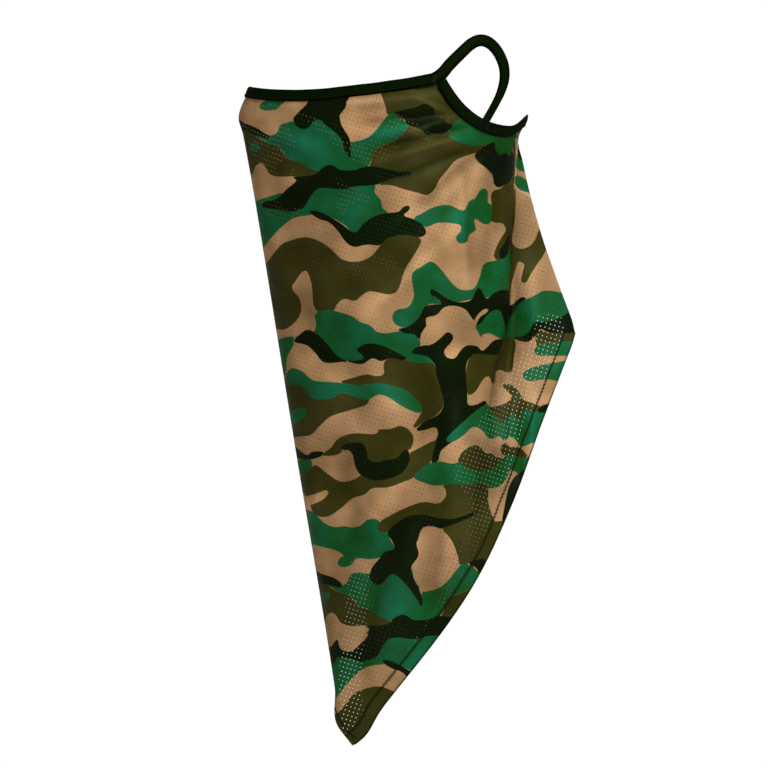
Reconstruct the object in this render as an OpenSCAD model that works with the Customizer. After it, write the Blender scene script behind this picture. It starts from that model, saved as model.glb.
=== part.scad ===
// Neck-length face mask of perforated camouflage cloth, as it hangs when worn.
// Frame: the nose points to -Y, the wearer's left is +X, up is +Z.
// The origin is the centre of the head opening, level with the ear loops.

/* [Cloth] */
// Thickness of the knitted mesh cloth
cloth_thick = 0.8; // [0.6:0.1:1.2]
// Half width of the tube at the cheeks
cheek_half_width = 58; // [50:1:64]
// How much fuller the tube is behind its middle than before it
rear_fullness = 0.3; // [0:0.05:0.4]

/* [Bindings] */
// Width of the fold-over elastic once it is folded
binding_width = 7.6; // [6:0.2:9]
// Half thickness of the folded elastic with the cloth in it
binding_half_thick = 1.4; // [1.2:0.1:1.8]
// Gap left for the cloth on each side inside the fold
binding_slot_gap = 0.1; // [0.05:0.05:0.2]

/* [Ear loops] */
// Width of the ear loop's elastic
loop_width = 6.2; // [5:0.2:8]
// Thickness of the ear loop's elastic
loop_thick = 1.8; // [1.2:0.1:2.2]
// How far the loop leans outwards at its top
loop_lean = 3; // [0:0.5:6]

/* [Hem and seam] */
// Height of the turned-up hem
hem_width = 8; // [6:0.5:10]
// Thickness of the turned-up layer
hem_thick = 0.7; // [0.5:0.1:1]
// Depth of the centre-back seam allowance
seam_depth = 6; // [4:0.5:7]
// Diameter of the sewing thread
thread_diameter = 0.6; // [0.4:0.1:0.8]

/* [Hidden] */

camo_green = [0.07, 0.33, 0.2];
camo_brown = [0.22, 0.19, 0.08];
elastic_green = [0.03, 0.1, 0.02];
thread_black = [0.03, 0.05, 0.03];

around = 36;                  // steps from the centre front to the centre back
down = 24;                    // rows from the top edge to the hem
binding_rings = 56;           // rings along each binding
thread_rings = 50;            // rings along each binding's stitching
hem_rings = 40;               // rings along each hem and its stitching
loop_rings = 40;              // rings along each ear loop
junction = 0.62;              // place along the top edge where the ear loop starts
lower_root = 0.845;           // place along the top edge where the ear loop ends
cloth_half = cloth_thick / 2;
slot_half = cloth_half + binding_slot_gap;
thread_gap = 0.05;            // between a thread and what it lies on
thread_lift = thread_diameter / 2 + thread_gap;
binding_lip = 1.2;            // how far a binding stands past the cloth's edge
binding_chamfer = 0.5;        // on the binding's folded corner
binding_thread_inset = 1;     // from the binding's lower edge to its stitching
binding_end_turn = 0.6;       // degrees between a binding's end and the junction
thread_end_turn = 5;          // degrees between its stitching's end and the junction
cloth_inset = 0.6;            // the cloth's edge inside the fold of the bindings
hem_start = 7;                // degrees of turn from the tip to where each hem starts
hem_gap = 0.1;                // between the cloth and its turned-up layer
hem_lip = 0.3;                // how far the turned-up layer stands past the cloth's edge
hem_thread_inset = 1;         // from the turned-up layer's top to its stitching
tack_span = [1.2, 5.4];       // where a bartack starts and ends below the top edge
tack_width = 4.8;
tack_height = 1;
tack_gap = 0.1;               // between a bartack and the binding under it

// Outline of one side, seen from the side. Each pair is [Y, Z].
nose_edge = [[-91, 7], [-76, 4.5], [-50, 4], [-16, 7], [11, 11], [38, 17]];
ear_edge = [[38, 17], [47, 2], [57, -9], [70, -17], [84, -20], [96, -11]];
hem_edge = [[-23, -433], [9, -395], [54, -335], [84, -275], [107, -213], [129, -157]];

// Profiles down the tube. Each pair is [Z, value].
front_line = [[-433, -23], [-418, -33], [-395, -33.5], [-234, -60], [-74, -86], [-24, -95],
              [-11, -98], [7, -91], [25, -88]];
rear_line = [[-300, 152], [-200, 140], [-157, 129], [-124, 117], [-94, 106.5], [-64, 98],
             [-42, 93.5], [-24, 91.5], [-11, 96], [25, 99]];
neck_line = [[-433, 70], [-300, 84], [-158, 86], [-60, 87], [-30, 89.5], [-12, 95], [25, 99]];
half_width = [[-433, 0.12], [-395, 0.3], [-300, 0.66], [-200, 0.86], [-100, 0.97], [-20, 1], [25, 1]];
flare_half = [[-433, 0], [-330, 22], [-250, 24], [-158, 13], [-100, 6], [-40, 3], [25, 1]];

// Centre line of the left ear loop between its two roots. Each pair is [Y, Z].
loop_line = [[44, 24], [52, 32], [59, 38], [65, 40], [72, 36.5], [78, 29],
             [81, 19.5], [79.5, 8], [75.5, -1.5]];
upper_root_yz = [39.5, 19.5];
lower_root_yz = [71, -12];
root_gap = 1.3;               // from the hinge axis to where the elastic starts
root_drop = 3;                // how far below its root's height the cloth is measured
loop_reach = 40;              // how far the loop stands out from the line through its roots
loop_chamfer = 0.5;

// ---- curves ----
function mix(a, b, t) = a * (1 - t) + b * t;
function clip(x, low = 0, high = 1) = min(high, max(low, x));
function smooth(t) = let (c = clip(t)) c * c * (3 - 2 * c);
function unit(v) = v / norm(v);

// A smooth curve through points, for t from 0 to 1.
function spline(points, t) =
    let (last = len(points) - 1, at = clip(t) * last, i = min(last - 1, floor(at)), f = at - i)
    let (a = points[max(0, i - 1)], b = points[i], c = points[i + 1], d = points[min(last, i + 2)])
    0.5 * (2 * b + (c - a) * f + (2 * a - 5 * b + 4 * c - d) * f * f
           + (3 * b - a - 3 * c + d) * f * f * f);

function slope(table, i) =
    let (a = table[max(0, i - 1)], b = table[min(len(table) - 1, i + 1)])
    (b[1] - a[1]) / (b[0] - a[0]);

// The smooth value of a [place, value] table.
function profile(table, x) =
    let (i = clip(len([for (p = table) if (p[0] <= x) p]) - 1, 0, len(table) - 2))
    let (a = table[i], b = table[i + 1], h = b[0] - a[0], t = clip((x - a[0]) / h))
    a[1] * (1 + 2 * t) * (1 - t) * (1 - t) + b[1] * t * t * (3 - 2 * t)
    + h * (slope(table, i) * t * (1 - t) * (1 - t) + slope(table, i + 1) * t * t * (t - 1));

// ---- the cloth as a surface ----
// u runs from the centre front to the centre back, v from the top edge to the hem.
function top_edge(u) =
    u < junction ? spline(nose_edge, u / junction)
                 : spline(ear_edge, (u - junction) / (1 - junction));
function front_at(v) = let (z = mix(nose_edge[0][1], hem_edge[0][1], v)) [profile(front_line, z), z];
function rear_at(v) =
    let (z = mix(ear_edge[5][1], hem_edge[5][1], v)) [profile(rear_line, z), z];
function side_view(u, v) =
    mix(top_edge(u), spline(hem_edge, u), v) + mix(front_at(v), rear_at(v), u)
    - mix(mix(nose_edge[0], hem_edge[0], v), mix(ear_edge[5], hem_edge[5], v), u);

egg_rear = 0.6;               // power that rounds the back of the egg-shaped section
egg_peak = 0.468;             // the section's greatest height before it is scaled to 1
flare_overlap = 20;           // how far before the neck the flared back starts
function egg(q) =
    sqrt(q) * pow(1 - q, egg_rear) / egg_peak * (1 + rear_fullness * (2 * q - 1));

function half_depth(y, z) =
    let (front = profile(front_line, z), rear = profile(rear_line, z))
    let (neck = min(profile(neck_line, z), rear))
    let (q = clip((y - front) / (neck - front)))
    let (tail = clip((y - neck + flare_overlap) / (rear - neck + flare_overlap)))
    let (tube = cheek_half_width * profile(half_width, z) * egg(q))
    let (flare = profile(flare_half, z) * smooth((q - 0.5) / 0.35) * sqrt(1 - tail * tail))
    pow(pow(tube, 4) + pow(flare, 4), 0.25);

// turn runs from 0 at the centre front, through 180 at the centre back, to 360.
function cloth(turn, v) =
    let (u = (1 - cos(turn)) / 2, p = side_view(u, v))
    [(sin(turn) < 0 ? -1 : 1) * half_depth(p[0], p[1]), p[0], p[1]];

function along(turn, v) = unit(cloth(turn + 0.5, v) - cloth(turn - 0.5, v));
function fall(turn, v) =
    let (a = along(turn, v), d = cloth(turn, min(1, v + 0.01)) - cloth(turn, max(0, v - 0.01)))
    unit(d - a * (a * d));
function outward(turn, v) = unit(cross(fall(turn, v), along(turn, v)));
function turn_at(u) = acos(1 - 2 * u);

// A point at a distance down the cloth from an edge and out from its middle.
function off_edge(turn, v, down_by, out_by) =
    cloth(turn, v) + fall(turn, v) * down_by + outward(turn, v) * out_by;

// ---- solids from rings of points ----
module skin(rings, closed = false) {
    n = len(rings[0]);
    m = len(rings);
    sides = [for (j = [0 : m - (closed ? 1 : 2)], i = [0 : n - 1])
        let (k = (i + 1) % n, next = ((j + 1) % m) * n)
        each [[j * n + i, next + k, j * n + k], [j * n + i, next + i, next + k]]];
    ends = closed ? [] : [[for (i = [0 : n - 1]) i], [for (i = [n - 1 : -1 : 0]) (m - 1) * n + i]];
    polyhedron([for (r = rings) each r], concat(sides, ends));
}

function edge_ring(turn, v, shape) = [for (p = shape) off_edge(turn, v, p[0], p[1])];
function steps(from, to, count) = [for (i = [0 : count]) mix(from, to, i / count)];

binding_shape = let (t = binding_half_thick, s = slot_half, c = binding_chamfer)
    let (lip = -binding_lip, reach = binding_width - binding_lip)
    [[lip, -t + c], [lip + c, -t], [reach, -t], [reach, -s], [0, -s], [0, s],
     [reach, s], [reach, t], [lip + c, t], [lip, t - c]];

module binding(from, to) {
    skin([for (turn = steps(from, to, binding_rings)) edge_ring(turn, 0, binding_shape)]);
}

module binding_thread(from, to) {
    down_by = binding_width - binding_lip - binding_thread_inset;
    thread_row(from, to, thread_rings, 0, down_by, binding_half_thick + thread_lift);
}

module thread_row(from, to, count, v, down_by, out_by) {
    r = thread_diameter / 2;
    skin([for (turn = steps(from, to, count))
        [for (a = [0 : 60 : 300]) off_edge(turn, v, down_by + r * sin(a), out_by - r * cos(a))]]);
}

// ---- ear loop ----
function root(yz) = [half_depth(yz[0], yz[1] - root_drop), yz[0], yz[1]];
upper_root = root(upper_root_yz);
lower_root_point = root(lower_root_yz);
hinge_axis = unit(lower_root_point - upper_root);

// The loop's own line in 3-D, leaning outwards with its distance from the hinge axis.
function loop_point(yz) =
    let (from_root = [0, yz[0], yz[1]] - [0, upper_root[1], upper_root[2]])
    let (rise = cross([0, hinge_axis[1], hinge_axis[2]], from_root)[0])
    let (share = clip(from_root[1] / (lower_root_point[1] - upper_root[1])))
    let (x = mix(upper_root[0], lower_root_point[0], share) + loop_lean * clip(rise / loop_reach))
    [x, yz[0], yz[1]];

loop_path = let (first = loop_point(loop_line[0]), last = loop_point(loop_line[len(loop_line) - 1]))
    concat([upper_root + unit(first - upper_root) * root_gap],
           [for (p = loop_line) loop_point(p)],
           [lower_root_point + unit(last - lower_root_point) * root_gap]);

function loop_at(i) = spline(loop_path, i / loop_rings);
function loop_way(i) =
    i == 0 ? cross(hinge_axis, [-1, 0, 0])
           : i == loop_rings ? cross(hinge_axis, [1, 0, 0])
                             : unit(loop_at(i + 0.5) - loop_at(i - 0.5));

module ear_loop(left) {
    w = loop_width / 2;
    t = loop_thick / 2;
    c = loop_chamfer;
    shape = [[-w, -t + c], [-w + c, -t], [w - c, -t], [w, -t + c],
             [w, t - c], [w - c, t], [-w + c, t], [-w, t - c]];
    mirror([left ? 0 : 1, 0, 0])
    skin([for (i = [0 : loop_rings])
        let (across = unit(cross([1, 0, 0], loop_way(i))))
        let (thin = unit(cross(loop_way(i), across)))
        [for (p = shape) loop_at(i) + across * p[0] + thin * p[1]]]);
}

// A dense block of zigzag thread that ties the elastic down at a root.
module bartack(turn, left) {
    w = tack_width / 2;
    mirror([left ? 0 : 1, 0, 0])
    skin([for (d = tack_span)
        [for (p = [[-w, 0], [w, 0], [w, tack_height], [-w, tack_height]])
            off_edge(turn, 0, d, binding_half_thick + tack_gap + p[1]) + along(turn, 0) * p[0]]]);
}

// ---- sub-parts ----
module mesh_body() {
    function inset(k) = k == 0 ? cloth_inset : 0;
    color(camo_green)
    skin([for (i = [0 : 2 * around - 1]) let (turn = i * 180 / around)
        concat([for (k = [0 : down]) off_edge(turn, k / down, inset(k), cloth_half)],
               [for (k = [down : -1 : 0]) off_edge(turn, k / down, inset(k), -cloth_half)])],
        closed = true);
}

module hem(left) {
    inner = -cloth_half - hem_gap;
    outer = inner - hem_thick;
    shape = [[-hem_width, outer], [-hem_lip, outer], [-hem_lip, inner], [-hem_width, inner]];
    color(camo_brown)
    mirror([left ? 0 : 1, 0, 0])
    skin([for (turn = steps(hem_start, 180 - hem_start, hem_rings)) edge_ring(turn, 1, shape)]);
}
module left_hem() { hem(true); }
module right_hem() { hem(false); }

// The seam allowance stands inwards from the centre back, between two shares of its length.
seam_span = [0.09, 0.93];
seam_half = 0.6;              // half thickness of its two layers
seam_gap = 0.9;               // between the middle of the cloth and the allowance
seam_rings = 12;
module back_seam() {
    color(camo_brown)
    skin([for (v = steps(seam_span[0], seam_span[1], seam_rings)) let (p = rear_at(v))
        [for (q = [[-seam_half, seam_gap], [seam_half, seam_gap],
                   [seam_half, seam_depth], [-seam_half, seam_depth]])
            [q[0], p[0] - q[1], p[1]]]]);
}

overlock_radius = 0.35;
overlock_length = 2.4;
overlock_count = 34;
overlock_reach = 0.4;         // from the allowance's edge to the thread's middle
overlock_inset = 0.02;        // share of the centre back left free at each end of the allowance
module back_seam_overlock() {
    color(thread_black)
    for (v = steps(seam_span[0] + overlock_inset, seam_span[1] - overlock_inset, overlock_count - 1))
        let (p = rear_at(v))
        translate([0, p[0] - seam_depth - overlock_reach, p[1]]) rotate([0, 90, 0])
            cylinder(r = overlock_radius, h = overlock_length, center = true, $fn = 16);
}

junction_turn = turn_at(junction);
module nose_binding() {
    end = junction_turn - binding_end_turn;
    color(elastic_green) binding(end, -end);
}

module nape_binding() {
    from = junction_turn + binding_end_turn;
    color(elastic_green) binding(360 - from, from);
}

module left_ear_loop() { color(elastic_green) ear_loop(true); }
module right_ear_loop() { color(elastic_green) ear_loop(false); }

upper_tack_turn = junction_turn - 3;
lower_tack_turn = turn_at(lower_root);
module left_upper_bartack() { color(thread_black) bartack(upper_tack_turn, true); }
module left_lower_bartack() { color(thread_black) bartack(lower_tack_turn, true); }
module right_upper_bartack() { color(thread_black) bartack(upper_tack_turn, false); }
module right_lower_bartack() { color(thread_black) bartack(lower_tack_turn, false); }

module nose_binding_stitching() {
    end = junction_turn - thread_end_turn;
    color(thread_black) binding_thread(end, -end);
}

module nape_binding_stitching() {
    from = junction_turn + thread_end_turn;
    color(thread_black) binding_thread(360 - from, from);
}

module hem_stitching(left) {
    down_by = hem_thread_inset - hem_width;
    color(thread_black)
    mirror([left ? 0 : 1, 0, 0])
    thread_row(hem_start, 180 - hem_start, hem_rings, 1, down_by, cloth_half + thread_lift);
}
module left_hem_stitching() { hem_stitching(true); }
module right_hem_stitching() { hem_stitching(false); }

mesh_body();
left_hem();
right_hem();
back_seam();
back_seam_overlock();
nose_binding();
nape_binding();
left_ear_loop();
right_ear_loop();
left_upper_bartack();
left_lower_bartack();
right_upper_bartack();
right_lower_bartack();
nose_binding_stitching();
nape_binding_stitching();
left_hem_stitching();
right_hem_stitching();
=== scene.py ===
"""A neck-length camouflage face mask of perforated mesh cloth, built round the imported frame.

Lengths in the tables are millimetres in the part's own frame: the nose points to -Y, the wearer's
left is +X and up is +Z. Meshes are made in metres.
"""
import math

import bmesh
import bpy
import numpy as np
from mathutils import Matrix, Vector


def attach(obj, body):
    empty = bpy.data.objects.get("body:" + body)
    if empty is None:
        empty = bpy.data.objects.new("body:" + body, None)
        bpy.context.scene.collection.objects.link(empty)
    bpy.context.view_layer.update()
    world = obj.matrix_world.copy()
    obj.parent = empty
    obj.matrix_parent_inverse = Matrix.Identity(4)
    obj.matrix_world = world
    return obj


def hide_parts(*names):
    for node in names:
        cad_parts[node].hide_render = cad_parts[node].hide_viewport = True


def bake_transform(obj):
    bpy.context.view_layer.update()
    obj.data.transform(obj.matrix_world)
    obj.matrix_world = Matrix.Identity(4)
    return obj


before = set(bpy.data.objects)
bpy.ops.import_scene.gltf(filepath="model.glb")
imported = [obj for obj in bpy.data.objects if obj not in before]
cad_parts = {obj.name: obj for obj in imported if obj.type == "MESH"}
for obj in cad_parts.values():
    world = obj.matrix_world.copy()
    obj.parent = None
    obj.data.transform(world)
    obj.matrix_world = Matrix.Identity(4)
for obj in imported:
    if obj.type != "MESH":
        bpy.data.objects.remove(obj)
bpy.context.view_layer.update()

MM = 0.001
ROWS = 310                    # rows of cloth faces from the top edge to the hem
COLS = 190                    # columns of cloth faces on each side
EDGE_CROWDING = 0.55          # how much closer the rows are at the top edge and the hem

# ---------------------------------------------------------------- outline of the cloth
# The outline and profiles of part.scad, with the top edge and the rear line fitted a little closer to
# the photo. Outline points are (Y, Z), and profiles are (Z, value).
NOSE_EDGE = [(-91, 7.5), (-76, 5.4), (-50, 5.2), (-16, 8.4), (11, 12), (38, 17)]
EAR_EDGE = [(38, 17), (47, 2.5), (57, -8.5), (70, -16.5), (86, -18.8), (96, -11)]
HEM_EDGE = [(-23, -433), (9, -395), (54, -335), (84, -275), (107, -213), (129, -157)]
FRONT_LINE = [(-433, -23), (-418, -33), (-395, -33.5), (-234, -60), (-74, -86), (-24, -95),
              (-11, -98), (7, -91), (25, -88)]
REAR_LINE = [(-300, 152), (-200, 140), (-157, 129), (-124, 117), (-94, 106.5), (-64, 98),
             (-42, 93), (-27, 90), (-11, 96), (25, 99)]
NECK_LINE = [(-433, 70), (-300, 84), (-158, 86), (-60, 87), (-30, 89.5), (-12, 95), (25, 99)]
HALF_WIDTH = [(-433, 0.12), (-395, 0.3), (-300, 0.66), (-200, 0.86), (-100, 0.97), (-20, 1), (25, 1)]
FLARE_HALF = [(-433, 0), (-330, 22), (-250, 24), (-158, 13), (-100, 6), (-40, 3), (25, 1)]
CHEEK = 58                    # half width of the tube at the cheeks
FULLNESS = 0.3                # how much fuller the tube is behind its middle
EGG_REAR = 0.6                # how blunt the tube's rear is
EGG_WIDEST = 0.468            # the egg curve's greatest value, divided out
TAIL_LEAD = 20                # how far before the neck the flare starts
JUNCTION = 0.62               # share of the top edge from the nose to the ear loop's upper root
LOWER_ROOT = 0.845            # share of the top edge from the nose to its lower root


def ramp(x, start, width):
    """0 before start, then a soft rise to 1 over width."""
    t = np.clip((x - start) / width, 0, 1)
    return t * t * (3 - 2 * t)


def bump(x, middle, width):
    """A soft bell of height 1 round middle."""
    return np.exp(-(((x - middle) / width) ** 2))


def spot(y, z, middle, radius_y, radius_z):
    """A soft round bell of height 1."""
    return np.exp(-(((y - middle[0]) / radius_y) ** 2) - ((z - middle[1]) / radius_z) ** 2)


def mix(a, b, t):
    """From a at t = 0 to b at t = 1."""
    return a * (1 - t) + b * t


def unit(a):
    """Vectors of length 1."""
    return a / np.maximum(np.linalg.norm(a, axis=-1, keepdims=True), 1e-9)


def lengths_along(path):
    """Length along a path of points, from its first point to each."""
    return np.concatenate([[0], np.cumsum(np.linalg.norm(np.diff(path, axis=0), axis=1))])


def curve_between(a, b, c, d, f):
    """A smooth curve from b to c, where a comes before b and d after c."""
    return 0.5 * (2 * b + (c - a) * f + (2 * a - 5 * b + 4 * c - d) * f**2
                  + (3 * b - a - 3 * c + d) * f**3)


def profile(table, x):
    """The smooth value at x of a table of (place, value)."""
    p, w = np.array(table, float).T
    i = np.clip(np.searchsorted(p, x, "right") - 1, 0, len(p) - 2)
    low, high = np.maximum(np.arange(len(p)) - 1, 0), np.minimum(np.arange(len(p)) + 1, len(p) - 1)
    slope = (w[high] - w[low]) / (p[high] - p[low])
    h = p[i + 1] - p[i]
    t = np.clip((x - p[i]) / h, 0, 1)
    value = w[i] * (1 + 2 * t) * (1 - t) ** 2 + w[i + 1] * t * t * (3 - 2 * t)
    return value + h * (slope[i] * t * (1 - t) ** 2 + slope[i + 1] * t * t * (t - 1))


def spline(points, t):
    """A smooth curve through the points, for t from 0 to 1."""
    p = np.array(points, float)
    last = len(p) - 1
    at = np.clip(t, 0, 1) * last
    i = np.minimum(np.floor(at).astype(int), last - 1)
    f = (at - i)[..., None]
    return curve_between(p[np.maximum(i - 1, 0)], p[i], p[i + 1], p[np.minimum(i + 2, last)], f)


def closed_outline(places, parts=5):
    """A smooth closed curve through places given as y, z, y, z and so on."""
    p = np.reshape(places, (-1, 2)).astype(float)
    f = (np.arange(parts) / parts)[None, :, None]
    a, b, c, d = (np.roll(p, k, axis=0)[:, None, :] for k in (1, 0, -1, -2))
    return curve_between(a, b, c, d, f).reshape(-1, 2)


def side_view(u, v):
    """(Y, Z) of the cloth: u from the centre front to the back, v from the top edge to the hem."""
    nose, ear = spline(NOSE_EDGE, u / JUNCTION), spline(EAR_EDGE, (u - JUNCTION) / (1 - JUNCTION))
    top = np.where((u < JUNCTION)[..., None], nose, ear)
    z_front, z_rear = mix(NOSE_EDGE[0][1], HEM_EDGE[0][1], v), mix(EAR_EDGE[5][1], HEM_EDGE[5][1], v)
    front = np.stack([profile(FRONT_LINE, z_front), z_front], -1)
    rear = np.stack([profile(REAR_LINE, z_rear), z_rear], -1)
    v, u = v[..., None], u[..., None]
    corners = [np.array(c, float) for c in (NOSE_EDGE[0], HEM_EDGE[0], EAR_EDGE[5], HEM_EDGE[5])]
    flat = mix(mix(corners[0], corners[1], v), mix(corners[2], corners[3], v), u)
    return mix(top, spline(HEM_EDGE, u[..., 0]), v) + mix(front, rear, u) - flat


def half_depth(y, z):
    """How far the cloth stands from the middle plane."""
    front, rear = profile(FRONT_LINE, z), profile(REAR_LINE, z)
    neck = np.minimum(profile(NECK_LINE, z), rear)
    q = np.clip((y - front) / (neck - front), 0, 1)
    egg = np.sqrt(q) * (1 - q) ** EGG_REAR / EGG_WIDEST * (1 + FULLNESS * (2 * q - 1))
    tail = np.clip((y - neck + TAIL_LEAD) / (rear - neck + TAIL_LEAD), 0, 1)
    tube = CHEEK * profile(HALF_WIDTH, z) * egg
    flare = profile(FLARE_HALF, z) * ramp(q, 0.5, 0.35) * np.sqrt(1 - tail * tail)
    return (tube**4 + flare**4) ** 0.25


# ---------------------------------------------------------------- folds in the cloth
FOLD_FADE = 0.35              # share of a fold's length over which it runs out at each end
PLEAT_START = 14              # length over which a pleat starts
PLEAT_END = 40                # length over which it runs out
PLEAT_REACH = 15              # how far it lifts the cloth to each side
NOISE_WAVES = 14
NOISE_SCALE = 5               # makes the waves' sum about 1
SWELLS = [(0.9, 85), (0.36, 34), (0.12, 13)]      # heights and sizes of the cloth's random swells
RIPPLE, RIPPLE_SIZE = 0.4, 24                     # and of the ripples down the tail
RELIEF_GAIN = 1.25
PLEAT_WIDTH, PLEAT_HEIGHT = 1.6, 3.2
CREASE_WIDTH, CREASE_HEIGHT = 1.4, 0.9


def fold(y, z, start, end, width, height):
    """A soft ridge (or valley, if height is below 0) from start to end."""
    (ys, zs), (ye, ze) = start, end
    long = math.hypot(ye - ys, ze - zs)
    along = ((y - ys) * (ye - ys) + (z - zs) * (ze - zs)) / long**2
    off = ((y - ys) * (ze - zs) - (z - zs) * (ye - ys)) / long
    return height * bump(off, 0, width) * ramp(along, 0, FOLD_FADE) * ramp(1 - along, 0, FOLD_FADE)


def step(y, z, points, width, height):
    """A pleat down a line of (Y, Z) points: the cloth before it stands proud of the cloth behind it."""
    ys, zs = np.array(points, float).T
    past = y - np.interp(z, zs[::-1], ys[::-1])
    ends = ramp(zs[0] - z, 0, PLEAT_START) * ramp(z, zs[-1], PLEAT_END)
    return -height * np.tanh(past / width) * bump(past, 0, PLEAT_REACH) * ends


def noise(y, z, size, seed):
    """Smooth random swelling of about 1, with swells of the given size."""
    waves = np.random.default_rng(seed)
    total = np.zeros_like(y)
    for _ in range(NOISE_WAVES):
        turn, phase = waves.uniform(0, math.tau, 2)
        rate = waves.uniform(0.6, 1.4) * math.tau / size
        total += np.sin((y * math.cos(turn) + z * math.sin(turn)) * rate + phase)
    return total / NOISE_SCALE


# Start, end, width and height of each fold, first on the wearer's left.
LEFT_FOLDS = [
    ((52, 2), (-46, -3), 4.5, 2), ((56, -8), (-30, -20), 4, -1.7), ((60, -12), (-16, -28), 3.4, 1.5),
    ((60, -18), (-18, -38), 3, -1.6), ((58, -25), (-14, -46), 3.2, 2.3), ((66, -30), (-6, -60), 3.6, -1.8),
    ((70, -30), (14, -80), 4.5, -1.6), ((74, -24), (36, -112), 6, 2), ((60, -37), (99, -81), 1.6, -0.7),
    ((40, -96), (-20, -150), 5, 1.5), ((30, -70), (-40, -112), 6, 1.4), ((84, -150), (70, -232), 8, -3),
    ((12, 3), (50, -14), 3.2, 1.3), ((-4, -7), (44, -24), 4, -1.2), ((4, -18), (50, -34), 4.5, 1.4),
    ((86, -186), (80, -268), 2.6, 1.5), ((93, -188), (89, -262), 2.4, -1.4),
    ((101, -190), (97, -252), 2.8, 1.3), ((76, -188), (70, -258), 2.8, -1.3), ((96, -90), (104, -180), 7, 2),
    ((-88, -34), (-66, -150), 7, 1.6), ((-60, -70), (-48, -180), 9, -1.3),
    ((-20, -120), (12, -240), 12, 2.2), ((16, -130), (40, -262), 10, -1.8), ((50, -190), (46, -310), 9, 2.6),
    ((72, -200), (62, -300), 7, -2.6), ((92, -190), (80, -262), 6, 2.2), ((-34, -200), (-14, -330), 9, -1.6),
    ((-52, -220), (-34, -370), 6, 1.5), ((20, -260), (2, -384), 8, 2), ((-4, -300), (-16, -410), 6, -1.4),
    ((40, -280), (26, -352), 6, -1.8), ((-80, -18), (-40, -38), 6, 1), ((-86, -60), (-20, -66), 6, -0.7),
]
RIGHT_FOLDS = [
    ((52, 0), (-52, 0), 6, 2), ((58, -12), (-26, -30), 6, -2), ((64, -20), (-14, -64), 7, 2.6),
    ((72, -26), (28, -92), 7, -1.9), ((96, -70), (106, -178), 7, 2.4), ((10, 2), (50, -16), 3.6, 1.2),
    ((-84, -40), (-58, -170), 8, 1.5), ((-40, -90), (-20, -210), 11, -1.6), ((0, -110), (22, -250), 11, 2.2),
    ((48, -160), (50, -300), 9, -2), ((70, -190), (66, -300), 8, 2.4), ((90, -190), (84, -262), 6, -2.2),
    ((-50, -210), (-30, -360), 7, 1.5), ((16, -260), (0, -380), 8, -2), ((34, -280), (18, -364), 6, 2),
]
CREASE = [(53, -46), (54, -90), (58, -140)]      # where the left side was folded for packing
LEFT_PLEAT = [(89, -22), (87.5, -45), (85.5, -71), (84.5, -100), (83.5, -150), (77, -180), (70, -215)]
RIGHT_PLEAT = [(85, -24), (86, -70), (84, -120), (81, -160), (74, -205)]


def relief(y, z, folds, pleat, seed):
    """How far one side of the cloth stands out from its smooth form."""
    total = sum(height * noise(y, z, size, seed + k) for k, (height, size) in enumerate(SWELLS))
    ripples = noise(0.9 * y - 0.4 * z, 0.3 * z, RIPPLE_SIZE, seed + 3)
    total = total + RIPPLE * ripples * ramp(-z, 130, 60)
    for start, end, width, height in folds:
        total = total + fold(y, z, start, end, width, height)
    return RELIEF_GAIN * total + step(y, z, pleat, PLEAT_WIDTH, PLEAT_HEIGHT)


# ---------------------------------------------------------------- the cloth's grid
CORNER_ROUND, CORNER_PULL = 6.0, 0.8      # the hem's rear corner is rounded off
TIP_BULGE, TIP_ROUND, TIP_PUSH = (-14, -426), 14.0, 2.7      # and the tip's rear side is fuller
SIDEWAYS = (1, 0.35, 0.35)    # the folds stand out to the side more than along the cloth
TOP_FLAT, TOP_FADE = 4, 14    # the folds start this far below the top edge, over this length
FRONT_FADE, BACK_FADE = 14, 16            # degrees round the tube over which they run out
THIN, THIN_FADE = 2.5, 8      # half widths of the tube at which they start and are full
PUCKER, PUCKER_SIZE = 0.3, 11             # the binding's stitches pucker the cloth below it
PUCKER_LINE, PUCKER_WIDTH = 9, 6


def grid_normals(points):
    """The cloth's outward normals."""
    down, along = np.gradient(points, axis=0), np.gradient(points, axis=1)
    wrap = points[:, 1] - points[:, -2]
    along[:, 0], along[:, -1] = wrap / 2, wrap / 2
    return unit(np.cross(down, along))


def make_grid():
    """The cloth's points, its folds' heights, and the places that its print is drawn at."""
    even = np.linspace(0, 1, ROWS + 1)
    share = even - np.sin(even * math.tau) * EDGE_CROWDING / math.tau
    turns, v = np.meshgrid(np.linspace(-180, 180, 2 * COLS + 1), share)
    yz = side_view((1 - np.cos(np.radians(turns))) / 2, v)
    y, z = yz[..., 0], yz[..., 1]
    x = np.where(turns < 0, -1, 1) * half_depth(y, z)
    corner = spot(y, z, HEM_EDGE[5], CORNER_ROUND, CORNER_ROUND)
    fuller = spot(y, z, TIP_BULGE, TIP_ROUND, TIP_ROUND)
    y, z = y - CORNER_PULL * corner + TIP_PUSH * fuller, z - TIP_PUSH * fuller
    points = np.stack([x, y, z], -1)
    left_lift = relief(y, z, LEFT_FOLDS, LEFT_PLEAT, 11) + step(y, z, CREASE, CREASE_WIDTH, CREASE_HEIGHT)
    lift = np.where(turns < 0, relief(y, z, RIGHT_FOLDS, RIGHT_PLEAT, 21), left_lift)
    from_top = np.abs(z - z[0]) + 0.4 * np.abs(y - y[0])
    from_front = np.abs(turns)
    free = ramp(from_top, TOP_FLAT, TOP_FADE) * ramp(from_front, 0, FRONT_FADE)
    free *= ramp(180 - from_front, 0, BACK_FADE) * ramp(np.abs(x), THIN, THIN_FADE)
    puckers = PUCKER * noise(turns * 2.2, 0 * z, PUCKER_SIZE, 5) * bump(from_top, PUCKER_LINE, PUCKER_WIDTH)
    height = lift * free + puckers
    return points + unit(grid_normals(points) * SIDEWAYS) * height[..., None], height, y, z


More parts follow.
